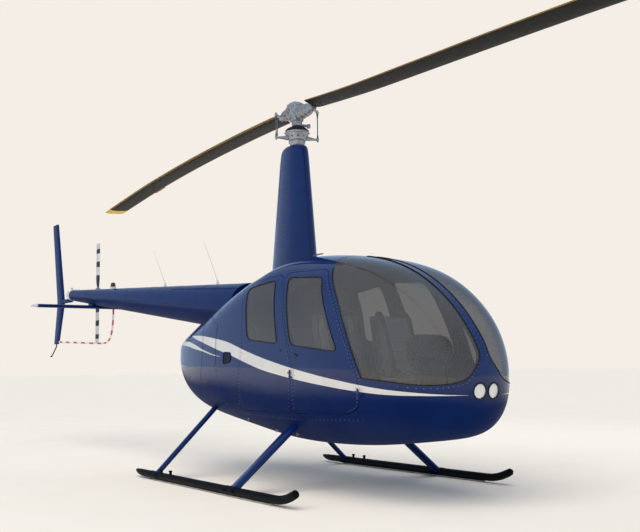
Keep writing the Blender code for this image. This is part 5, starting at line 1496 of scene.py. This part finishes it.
    route = [(-4.985, 0.26, 1.812), (-4.985, 0.26, 1.76), (-4.99, 0.26, 1.66),
        (-5.025, 0.26, 1.52), (-5.085, 0.257, 1.415), (-5.2, 0.253, 1.362), (-5.4, 0.236, 1.353),
        (-5.8, 0.124, 1.372), (-6.1, 0.043, 1.386), (-6.25, 0.006, 1.392), (-6.375, 0.0, 1.401)]
    route = mastFoot + route
    build("tailGuard", [tube(curveThrough(route, 90), 0.0125, 20)], "airframe", "guardBands",
        "tail_guard")
    skid = mastFoot + [(-6.495, 0, 1.376), (-6.497, 0, 1.345), (-6.52, 0, 1.318),
        (-6.6, 0, 1.262), (-6.675, 0, 1.21), (-6.7, 0, 1.197), (-6.73, 0, 1.192)]
    radius = np.interp(np.linspace(0, 1, 40), [0, .9, 1], [.008, .008, .0085])
    shoe = turned(skid[-2], (-1, 0, -0.16), [(0, 0.011), (0.028, 0.011), (0.033, 0.006)], 16)
    build("tailSkid", [tube(curveThrough(skid, 40), radius, 16), shoe], "airframe", "skidBlack",
        "tail_skid")
    print("tail made")


def boomFittings():
    start, end = coneEnds()
    length = np.linalg.norm(end - start)
    along = (end - start) / length

    def top(x):
        t = (x - cone["front"][0]) / (cone["rear"][0] - cone["front"][0])
        return np.array([mastX + x, 0, cone["front"][1] + t * (cone["rear"][1] - cone["front"][1])
            + coneRadius(t)])

    base = top(-4.37) - up * 0.012
    build("beaconBase", [turned(base, up, [(0, 0.04), (0.022, 0.038), (0.03, 0.036),
        (0.034, 0.036)], 36)], "airframe", "greyPaint")
    build("beaconLens", [turned(base + up * 0.034, up, [(0, 0.033), (0.006, 0.034), (0.012, 0.032),
        (0.018, 0.034), (0.024, 0.0315), (0.03, 0.033), (0.036, 0.03), (0.042, 0.031),
        (0.05, 0.026), (0.056, 0.018), (0.0585, 0.008), (0.059, 0)], 40)], "airframe", "beacon",
        "beacon")
    for label, x, tip in (("Aft", -2.8, (-3.14, 0, 2.4)), ("Front", -1.53, (-1.85, 0, 2.36))):
        foot = top(x) - [0, 0, 0.01]
        tipPoint = mastFoot + tip
        path = np.linspace(foot + [0, 0, 0.03], tipPoint, 24)
        bend = np.sin(np.linspace(0, np.pi / 2, 24)) * 0.015
        path[:, 0] += bend - np.linspace(0, 0.015, 24)
        whip = tube(path, np.linspace(0.0042, 0.0022, 24), 10)
        foil = [(foot + [0.03, 0, 0], foot - [0.045, 0, 0], 0.02, (0, 1, 0)),
            (foot + [0.012, 0, 0.04], foot + [-0.026, 0, 0.04], 0.012, (0, 1, 0)),
            (foot + [0.004, 0, 0.058], foot + [-0.012, 0, 0.058], 0.008, (0, 1, 0))]
        tipBall = pebble(tipPoint, (0.004, 0.004, 0.004), 1.0, None, 12)
        build(f"antenna{label}", [whip, wing(foil, 10, 12), tipBall], "airframe", "greyPaint",
            f"antenna_{label.lower()}")
    rows = []
    for share in (0.16, 0.3, 0.44, 0.58, 0.72, 0.86):
        for offset in (-0.01, 0.01):
            at = share * length + offset
            r = coneRadius(at / length)
            c, s = circle(int(2 * np.pi * r / 0.03))
            a, b, _ = axes(along)
            n = c[:, None] * a + s[:, None] * b
            rows.append((start + along * at + n * (r + 0.0003), n))
    screws("boomRivets", "airframe", rows, radius=0.0034, height=0.0011)
    pitot = curveThrough(mastFoot + [(0.2465, 0, 1.975), (0.29, 0, 1.983),
        (0.33, 0, 1.985), (0.4, 0, 1.985)], 24)
    build("pitotTube", [tube(pitot, np.interp(np.linspace(0, 1, 24), [0, .3, .9, 1],
        [.009, .0075, .0065, .004]), 18)], "airframe", "steel", "pitot_tube")
    print("boom fittings made")


rail = {
    "path": [(-1.15, 0.062), (-1.11, 0.054), (-1.06, 0.049), (-0.96, 0.045), (-0.5, 0.045),
        (0.2, 0.045), (0.8, 0.045), (1.2, 0.045), (1.29, 0.046), (1.35, 0.05),
        (1.43, 0.067), (1.5, 0.092), (1.548, 0.113), (1.565, 0.12)],
    "y": 1.06,
    "radius": 0.032,
}
legTable = {
    "front": (0.64, 0.635, 0.456, 0.53, 0.135, 0.046),
    "rear": (-0.75, -0.765, 0.42, 0.65, 0.085, 0.042),
}


def landingGear():
    path = curveThrough(rail["path"], 120)
    fat = np.interp(path[:, 0], [-1.15, -1.12, -1.06, -0.99, 1.5, 1.545, 1.558, 1.566],
        [0.3, 0.62, 0.9, 1.0, 1.0, 0.93, 0.78, 0.3]) * rail["radius"]
    for label, side in sides:
        y = side * rail["y"]
        line = np.stack([mastX + path[:, 0], np.full(len(path), y), path[:, 1]], -1)
        parts = [tube(line, fat, 32)]
        # Pegs for the ground wheels.
        for x in (-0.62, -0.44):
            parts.append(turned((mastX + x, y, 0.07), up,
                [(0, 0.012), (0.026, 0.012), (0.028, 0.016), (0.036, 0.016), (0.039, 0.011)], 18))
        for name, values in legTable.items():
            foot = values[0]
            parts.append(turned((mastX + foot - 0.085, y, 0.045), toFront,
                [(0, 0.0328), (0.003, 0.035), (0.167, 0.035), (0.17, 0.0328)], 40))
            for dx in (-0.07, -0.045, 0.045, 0.07):
                parts += hexBolt(mastFoot + [foot + dx, y + side * 0.0345, 0.048],
                    (0, side, 0.1), 0.006, 0.007)
        build(f"skidTube{label.title()}", parts, "airframe", "skidBlack", f"skid_{label}")
        top = 0.0143
        shoe = []
        for x, half, z0, z1 in ((-0.78, .01, .006, top), (-0.772, .02, .001, top),
                (-0.74, .024, 0, top), (1.2, .024, 0, top), (1.232, .02, .001, top),
                (1.24, .01, .006, top)):
            c, s = squarish(24, 0.4)
            shoe.append(np.stack([np.full(24, mastX + x), y + half * c,
                (z0 + z1) / 2 + (z1 - z0) / 2 * s], -1))
        parts = [loft(shoe)]
        for x in np.arange(-0.7, 1.2, 0.19):
            for facing in (1, -1):
                parts += hexBolt(mastFoot + [x, y + facing * 0.0235, 0.0078], toPort * facing,
                    0.0035, 0.004)
        build(f"wearShoe{label.title()}", parts, "airframe", "steel", f"skid_shoe_{label}")

        for name, (footX, topX, topY, topZ, chord, thick) in legTable.items():
            foot = mastFoot + [footX, side * 1.052, 0.05]
            hip = mastFoot + [topX, side * topY, topZ]
            across = np.array([0, 0.5, side * 0.55])
            across /= np.linalg.norm(across)
            rings = []
            for share, grow in ((0.0, 1.1), (0.03, 1.08), (0.06, 1.0), (0.5, 1.0), (0.93, 1.0),
                    (1.0, 1.0)):
                middle = foot + (hip - foot) * share
                outline = aerofoil(20, thick * grow, chord * grow)
                rings.append(middle + toFront * (chord * grow * 0.45 - outline[:, :1])
                    + across * outline[:, 1:])
            build(f"leg{name.title()}{label.title()}", [loft(rings)], "airframe", "fairingPaint",
                f"leg_{name}_{label}")
    print("landing gear made")


def lamps():
    for label, side in sides:
        y0, z0, r = side * lamp["y"], lamp["z"], lamp["radius"]
        c, s = circle(48)
        rho = np.array([[1.0], [0.85], [0.6], [0.3], [0.001]])
        face = skinFront(y0 + r * rho * c, z0 + r * rho * s)
        front = face - [0.0035, 0, 0]
        back = front[0] - [0.03, 0, 0]
        lens = loft(np.concatenate([[back], front]))
        build(f"lampLens{label.title()}", [lens], "airframe", "lens", f"landing_light_{label}")
        edge = skinFront(y0 + (r + 0.004) * c, z0 + (r + 0.004) * s)
        build(f"lampBezel{label.title()}", [tube(edge, 0.006, 12, True)], "airframe", "rubber")
    print("lamps made")


# Strap behind the axis and the foot's place ahead of it, for each door.
hinges = {"front": {"strap": 0.05, "foot": 0.001}, "rear": {"strap": 0.035, "foot": 0.0135}}


def hingesAndHandles():
    for door, size in hinges.items():
        for label, side in sides:
            pivot = next(j["pos_m"] for j in frame["joints"] if j["name"]
                == f"{door}_door_{label}_hinge")
            axis = np.array(pivot)
            knuckle = [(0.0002, 0.0072), (0.0015, 0.008), (0.0345, 0.008), (0.036, 0.0072)]
            skinY = axis[1] - side * (0.014 + 0.012)
            footZ = axis[2] - 0.018
            footX = axis[0] + size["foot"]
            foot = curveThrough([(footX, skinY, footZ), (footX, axis[1] - side * 0.008, footZ),
                (axis[0] + size["foot"] * 0.6, axis[1], footZ), (axis[0] - 0.001, axis[1], footZ)],
                20)
            post = [turned(axis, -up, knuckle, 28), tube(foot, 0.0063, 16)]
            build(f"{door}HingePost{label.title()}", post, "airframe", "paintedMetal")
            armZ = axis[2] + 0.0182
            x0 = axis[0] - size["strap"]
            arm = curveThrough([(x0, skinY, armZ), (x0 + 0.004, axis[1] - side * 0.006, armZ),
                (x0 + 0.014, axis[1], armZ), (axis[0], axis[1], armZ)], 24)
            leaf = [turned(axis, up, knuckle, 28), tube(arm, 0.0063, 16)]
            leaf += hexBolt(axis + up * 0.036, up, 0.0045, 0.005)
            build(f"{door}HingeArm{label.title()}", leaf, f"{door}_door_{label}", "paintedMetal")
    for label, side in sides:
        at, n = onSkin(skinSide(np.array([0.93, 0.908, 0.88]), np.array([1.083, 1.088, 1.094]),
            side), 0.0)
        path = curveThrough([at[0] - n[0] * 0.004, at[0] + n[0] * 0.011, at[1] + n[1] * 0.014,
            at[2] + n[2] * 0.012, at[2] + n[2] * 0.009], 30)
        boss = turned(at[0] - n[0] * 0.004, n[0], [(0, 0.012), (0.005, 0.012), (0.008, 0.009),
            (0.012, 0.008)], 28)
        build(f"frontHandle{label.title()}", [tube(path, 0.0048, 16, False, 0.8), boss],
            f"front_door_{label}", "latch")
        at, n = onSkin(skinSide(np.array([0.69]), np.array([1.125]), side), -0.002)
        knob = turned(at[0], n[0], [(0, 0.011), (0.004, 0.011), (0.006, 0.008), (0.01, 0.0075),
            (0.012, 0.006)], 28)
        build(f"rearHandle{label.title()}", [knob], f"rear_door_{label}", "latch")
    for label, side in sides:
        spots = np.array([(-0.158, 0.434), (0.222, 0.38), (0.566, 0.392)])
        at, n = onSkin(skinTop(spots[:, 0], side * spots[:, 1], -1), -0.002)
        studs = [turned(p, d, [(0, 0.014), (0.004, 0.014), (0.006, 0.007), (0.02, 0.007),
            (0.022, 0)], 20) for p, d in zip(at, n)]
        build(f"bellyFittings{label.title()}", studs, "airframe", "alloy")
    print("hinges and handles made")


# Where things on the floor start, 0.6 mm above the carpet.
onFloor = 0.5306
cabin = {
    # Centre (from the mast), half sizes (along, across, thick) and lean in degrees.
    "seat": {"at": (1.335, 0.295, 0.842), "half": (0.232, 0.205, 0.046), "lean": -4.0},
    "seatBack": {"at": (1.045, 0.295, 1.135), "half": (0.27, 0.198, 0.044), "lean": -102.5},
    "bench": {"at": (0.345, 0.0, 0.85), "half": (0.222, 0.49, 0.046), "lean": -4.0},
    "benchBack": {"at": (0.03, 0.0, 1.11), "half": (0.25, 0.49, 0.046), "lean": -101.0},
    # The most a cushion swells, the depth and width of its sewn lines, points round its welt.
    "swell": 0.012, "line": (0.0095, 0.0085), "weltSpots": 120,
    "voxel": {"small": 0.011, "large": 0.014},
}


def leaning(lean):
    # The turn about Y, in degrees, that lays a cushion down or stands it up.
    a = math.radians(lean)
    return np.array([[math.cos(a), 0, math.sin(a)], [0, 1, 0], [-math.sin(a), 0, math.cos(a)]])


def cushion(name, size, channels, voxel):
    # A soft-cornered block remeshed and blown up as cloth, no point moving farther than the
    # swell; then sewn lines are pressed in, depth * exp(-(distance / width)^2).
    half = np.array(size["half"])
    piece = makePiece(name, *pebble((0, 0, 0), half - [0.004, 0.004, 0.008], 0.24, None, 56))
    step = piece.modifiers.new("remesh", "REMESH")
    step.mode, step.voxel_size = "VOXEL", voxel
    start = gathered(applied(piece).data.vertices, "co", 3)
    cloth = piece.modifiers.new("cloth", "CLOTH")
    cloth.settings.use_pressure = True
    cloth.settings.uniform_pressure_force = 4.0
    cloth.settings.effector_weights.gravity = 0.0
    for moment in range(1, 21):
        scene.frame_set(moment)
    swollen = applied(piece).data
    scene.frame_set(1)
    move = gathered(swollen.vertices, "co", 3) - start
    length = np.linalg.norm(move, axis=1)[:, None]
    move *= np.minimum(1, cabin["swell"] / np.maximum(length, 1e-9))
    swollen.vertices.foreach_set("co", (start + move).ravel())
    swollen.update()
    step = piece.modifiers.new("smoother", "SUBSURF")
    step.levels = step.render_levels = 1
    applied(piece)
    mesh = piece.data
    p = gathered(mesh.vertices, "co", 3)
    upper = np.clip((p[:, 2] - half[2] * 0.2) / (half[2] * 0.5), 0, 1)
    inside = np.clip((0.97 - np.abs(p[:, 1]) / half[1]) / 0.06, 0, 1)
    depth, width = cabin["line"]
    for axis, place in channels:
        across = p[:, 0] - half[0] * place if axis == "x" else p[:, 1] - half[1] * place
        reach = inside if axis == "x" else np.clip((0.97 - np.abs(p[:, 0]) / half[0]) / 0.06, 0, 1)
        p[:, 2] -= depth * upper * reach * np.exp(-(across / width) ** 2)
    # The welt: the outermost point in each direction round the middle, kept on the cushion.
    level = half[2] * 0.45
    rim = p[np.abs(p[:, 2] - level) < 0.01]
    turn = np.arctan2(rim[:, 1] / half[1], rim[:, 0] / half[0])
    spots = cabin["weltSpots"]
    bins = ((turn + np.pi) / (2 * np.pi) * spots).astype(int) % spots
    far = np.linalg.norm(rim[:, :2] / half[:2], axis=1)
    line = np.array([rim[bins == k][np.argmax(far[bins == k])] for k in range(spots)
        if (bins == k).any()])
    line[:, 2] = level
    soft = sum(np.roll(line, k, 0) for k in (-2, -1, 0, 1, 2)) / 5
    mesh.vertices.foreach_set("co", p.ravel())
    place, lean = mastFoot + size["at"], leaning(size["lean"])
    mesh.transform(Matrix.Translation(place) @ Matrix(lean.tolist()).to_4x4())
    mesh.shade_smooth()
    mesh.update()
    points, faces = tube(soft, 0.0048, 10, True)
    return piece, merged(name + "Welt", [(points @ lean.T + place, faces)])


def seatShell(name, low, high, profile):
    # A moulded shell: the side outline (x, z) carried across, its edges rounded.
    shell = makePiece(name, *prism(rounded(np.array(profile), 0.035), "Y", low, high))
    step = shell.modifiers.new("edge", "BEVEL")
    step.width, step.segments, step.limit_method = 0.01, 3, "ANGLE"
    applied(shell)
    # Its lower corners are cut to the inside of the body's wall.
    index, angle = np.linspace(indexOf(2.0), indexOf(-0.34), 60), allAngles[::2]
    points = skinPoints(index, angle)
    inner = points - gridNormals(points, True) * (skin["wall"] + 0.006)
    carve(shell, "INTERSECT", merged("innerRoom", [loft(inner)]))
    shell.data.shade_smooth()
    shell.data.set_sharp_from_angle(angle=math.radians(40))
    return shell


def seats():
    sewn = [("x", -0.55), ("x", -0.18), ("x", 0.18), ("x", 0.55)]
    bench = sewn + [("y", 0.0)]
    frontProfile = [(1.565, onFloor), (1.59, .8), (1.12, .772), (0.992, 1.405), (0.935, 1.4),
        (1.04, .8), (1.065, onFloor)]
    rearProfile = [(0.59, onFloor), (0.615, .805), (0.12, .775), (-0.02, 1.36), (-0.11, 1.36),
        (0.02, .8), (0.045, onFloor)]
    voxel = cabin["voxel"]
    pads = [cushion("seatCushionLeft", cabin["seat"], sewn, voxel["small"]),
        cushion("seatBackLeft", cabin["seatBack"], sewn, voxel["small"])]
    for pad, welt in pads:
        for piece in (pad, welt):
            other = mirrored(piece, piece.name.replace("Left", "Right"))
            for one in (piece, other):
                finished(one, "airframe", "seat" if piece is pad else "welt")
    for label, side in sides:
        low, high = sorted((side * 0.085, side * 0.505))
        finished(seatShell(f"seatShell{label.title()}", low, high, frontProfile), "airframe",
            "shell", [f"front_seat_{label}"])
    for pad, welt in (cushion("benchCushion", cabin["bench"], bench, voxel["large"]),
            cushion("benchBackCushion", cabin["benchBack"], bench, voxel["large"])):
        finished(pad, "airframe", "seat")
        finished(welt, "airframe", "welt")
    finished(seatShell("benchShell", -0.51, 0.51, rearProfile), "airframe", "shell",
        ["rear_bench"])
    print("seats made")


def cabinFloor():
    # A board whose edges follow the skin: half width = the skin's at its height, less the wall.
    x = np.linspace(-0.355, 2.02, 60)
    rings = []
    for level, inside in ((0.496, 0.052), (0.499, 0.047), (0.527, 0.04), (0.53, 0.043)):
        half = np.maximum(skinSide(x, np.full(len(x), level))[:, 1] - inside, 0.05)
        rings.append(np.stack([np.concatenate([x, x[::-1]]) + mastX,
            np.concatenate([half, -half[::-1]]), np.full(2 * len(x), level)], -1))
    build("cabinCarpet", [loft(rings)], "airframe", "carpet", "cabin_floor", angle=25.0)


def controls():
    # Rounded sections stacked upwards: height, middle, half along, half across.
    rows = [(onFloor, 1.822, .15, .07), (0.545, 1.822, .156, .075), (0.7, 1.815, .128, .073),
        (0.86, 1.805, .092, .07), (0.96, 1.795, .072, .072), (1.01, 1.785, .078, .095),
        (1.035, 1.78, .098, .15), (1.06, 1.78, .106, .18), (1.11, 1.782, .104, .187),
        (1.16, 1.778, .092, .182), (1.195, 1.768, .072, .165), (1.215, 1.756, .048, .135),
        (1.224, 1.748, .022, .095)]
    fine = curveThrough(rows, 60)
    c, s = squarish(56, 0.55)
    rings = [np.stack([mastX + x + a * c, b * s, np.full(56, z)], -1) for z, x, a, b in fine]
    build("instrumentConsole", [loft(rings)], "airframe", "trim", "instrument_console", angle=40.0)
    bezels, faces, marks = [], [], []
    back = -toFront
    tick = [(x, y, z) for z in (-0.0004, 0.0004) for x, y in ((-.0006, -.003), (.0006, -.003),
        (.0006, .003), (-.0006, .003))]
    box = [(0, 1, 2, 3), (4, 5, 6, 7), (0, 1, 5, 4), (1, 2, 6, 5), (2, 3, 7, 6), (3, 0, 4, 7)]
    upright = Matrix.Rotation(math.radians(-90), 4, "Y") @ Matrix.Rotation(math.radians(90), 4,
        "Z")
    for z in (1.14, 1.066):
        for y in (-.105, -.035, .035, .105):
            at = mastFoot + [1.676, y, z]
            bezels.append(turned(at, back, [(-0.016, 0.0265), (0.006, 0.0265), (0.008, 0.0285),
                (0.006, 0.0315), (-0.016, 0.0315)], 32, True))
            faces.append(turned(at, back, [(-0.012, 0.0266), (0.002, 0.0266)], 32))
            for k in range(10):
                a = math.radians(36 * k + 18)
                spot = Matrix.Translation(at + [-0.0024, 0.021 * math.sin(a), 0.021 * math.cos(a)])
                spot = spot @ Matrix.Rotation(-a, 4, "X") @ upright
                marks.append(([tuple(spot @ Vector(q)) for q in tick], box))
            spot = Matrix.Translation(at + [-0.003, 0, 0]) @ Matrix.Rotation(y * 31 + z * 7, 4,
                "X")
            spot = spot @ upright
            marks.append(([tuple(spot @ Vector((q[0], q[1] * 2.6 + 0.006, q[2]))) for q in tick],
                box))
    build("dialBezels", bezels, "airframe", "rubber")
    build("dialFaces", faces, "airframe", "seam")
    build("dialMarks", marks, "airframe", "greyPaint")

    def bar(points, radius, count=40):
        return tube(curveThrough(mastFoot + points, count), radius, 16)

    build("cyclicStick", [bar([(1.64, 0, onFloor), (1.64, 0, .7), (1.625, 0, .82), (1.6, 0, .95),
        (1.6, 0, 1.0)], 0.0125), bar([(1.58, -.34, .93), (1.585, -.3, .985),
        (1.6, -.25, 1.015), (1.6, 0, 1.025), (1.6, .25, 1.015), (1.585, .3, .985),
        (1.58, .34, .93)], 0.0105, 90), turned((mastX + 1.6, 0, 1.0), toPort,
        [(-.03, .019), (.03, .019)], 24), turned((mastX + 1.64, 0, onFloor), up,
        [(0, .04), (.01, .038), (.05, .018)], 28)], "airframe", "steel", "cyclic_stick")
    grips = []
    for y in (-0.34, 0.34):
        foot = np.array([1.58, y, .935])
        grips.append(bar([foot + [0, 0, 0.012], foot + [0, 0, -0.03], foot + [-0.004, 0, -0.075],
            foot + [-0.006, 0, -0.105]], np.interp(np.linspace(0, 1, 24), [0, .1, .5, .9, 1],
            [.013, .017, .0155, .018, .012]), 24))
    for y in (0.045, 0.545):
        grips.append(bar([(1.36, y, .955), (1.3, y, .925), (1.24, y, .895)],
            np.interp(np.linspace(0, 1, 20), [0, .1, .9, 1], [.013, .0185, .0185, .014]), 20))
    build("controlGrips", grips, "airframe", "rubber")
    levers = [bar([(1.25, y, .9), (1.02, y, .785), (0.86, y, .7), (0.8, y, .6),
        (0.8, y, .531)], 0.0095) for y in (0.045, 0.545)]
    for y in (-.365, -.235, .235, .365):
        levers.append(bar([(1.86, y, onFloor), (1.9, y, .6), (1.895, y, .69)], 0.007, 20))
    build("controlLevers", levers, "airframe", "rod")
    pads = [pebble((mastX + 1.893, y, .705), (.008, .04, .036), 0.35, leaning(-12), 24)
        for y in (-.365, -.235, .235, .365)]
    build("pedalPads", pads, "airframe", "rubber")

    belts = []
    for side in (port, starboard):
        for top, foot in (((0.985, .15, 1.395), (1.13, .15, .905)),
                ((0.985, .43, 1.395), (1.13, .43, .905))):
            a, b = np.array(top), np.array(foot)
            a[1], b[1] = a[1] * side, b[1] * side
            mid = (a + b) / 2 + [0.062, 0, 0.012]
            belts.append(bar([a + [-0.045, 0, -0.1], a + [-0.02, 0, 0.036], a + [0.035, 0, 0.012],
                mid, b + [0.055, 0, 0.03], b + [0.075, 0, 0.002]], 0.0022, 50))
    flat = []
    for points, faces in belts:
        # Each belt's round section is drawn out sideways into a flat strip 44 mm wide.
        p = np.array(points).reshape(50, -1, 3)
        middle = p.mean(1, keepdims=True)
        p = middle + (p - middle) * np.array([1, 10, 1])
        flat.append((p.reshape(-1, 3), faces))
    build("seatBelts", flat, "airframe", "belt")
    print("controls made")


room = {"soft": 0.82, "sun": 2.25, "floor": 150.0, "floorTones": ("#fbefdd", "#fdf2e1"),
    "sky": [(0.0, "#c6dcf8"), (0.25, "#b6cff2"), (0.5, "#a3b8d6"), (1.0, "#8fa0b8")]}


# The fitted camera: its right, upward and backward axes, and its place from the mast's foot.
view = {
    "axes": ((0.57009, 0.82149, -0.01159), (0.09511, -0.05198, 0.9941),
        (0.81605, -0.56784, -0.10777)),
    "place": (7.0868, -4.6883, 0.9897), "lens": 52.42, "sensor": 36.0,
}


def studio():
    turn = Matrix(view["axes"]).transposed().to_4x4()
    turn.translation = mastFoot + view["place"]
    data = bpy.data.cameras.new("camera")
    data.sensor_width, data.lens = view["sensor"], view["lens"]
    data.clip_end = 400
    camera = bpy.data.objects.new("camera", data)
    camera.matrix_world = turn
    scene.collection.objects.link(camera)
    scene.camera = camera
    scene.view_settings.view_transform = "Standard"

    # A cream room that reflects as a soft grey, so the dark gloss keeps its depth.
    world = bpy.data.worlds.new("studio")
    scene.world = world
    world.use_nodes = True
    tree = world.node_tree
    plain = tree.nodes["Background"]
    plain.inputs[0].default_value, plain.inputs[1].default_value = linear("#f5eee6"), 1.0
    add = partial(addNode, tree)
    height = add("SeparateXYZ", {0: add("TexCoord", out="Generated")}, 2)
    shade = add("ValToRGB", {0: height}, stops=room["sky"])
    soft = add("Background", {"Color": shade, "Strength": room["soft"]})
    seen = add("LightPath", out="Is Camera Ray")
    both = add("MixShader", {0: seen, 1: soft, 2: plain.outputs[0]})
    tree.links.new(both, tree.nodes["World Output"].inputs[0])

    far = room["floor"]
    floor = makePiece("floor", [(-far, -far, 0), (far, -far, 0), (far, far, 0), (-far, far, 0)],
        [(0, 1, 2, 3)], closed=False)
    made, add, link = newMaterial("paleFloor", Roughness=0.9, Specular_IOR_Level=0.0)
    cloud = add("TexNoise", {"Vector": add("TexCoord", out="Object"), "Scale": 1.5, "Detail": 2.0})
    link(add("ValToRGB", {0: cloud}, stops=[(0.3, room["floorTones"][0]),
        (0.7, room["floorTones"][1])]), "Base Color")
    floor.data.materials.append(made)

    def light(name, kind, place, target, power, **more):
        data = bpy.data.lights.new(name, kind)
        data.energy = power
        for key, value in more.items():
            setattr(data, key, value)
        item = bpy.data.objects.new(name, data)
        item.location = place
        item.visible_glossy = False
        item.rotation_euler = (Vector(target) - Vector(place)).to_track_quat("-Z", "Y").to_euler()
        scene.collection.objects.link(item)

    light("sky", "SUN", (mastX + 3, -5, 9), (mastX, 0, 0), room["sun"], angle=math.radians(70),
        color=(1.0, 0.965, 0.915))
    light("key", "AREA", (mastX + 3, -9, 5.5), (mastX, 0, 1.5), 90, shape="RECTANGLE", size=5,
        size_y=3)
    light("rim", "AREA", (mastX - 3, 6, 6), (mastX - 1, 0, 1.6), 60, shape="RECTANGLE", size=6,
        size_y=2)
    print("room, camera and lights made")


for stage in (studio, seats, cabinFloor, controls, bodyPanels, tailBoom, sealsAndScrews, rotorHead,
        mainBlades, mastFairing, tailUnit, boomFittings, landingGear, lamps, hingesAndHandles):
    stage()

for name, finish in (("firewall", "lining"), ("engine_block", "castIron")):
    node = frame["nodes"][name]
    node.data.materials.clear()
    node.data.materials.append(finishes[finish][0])
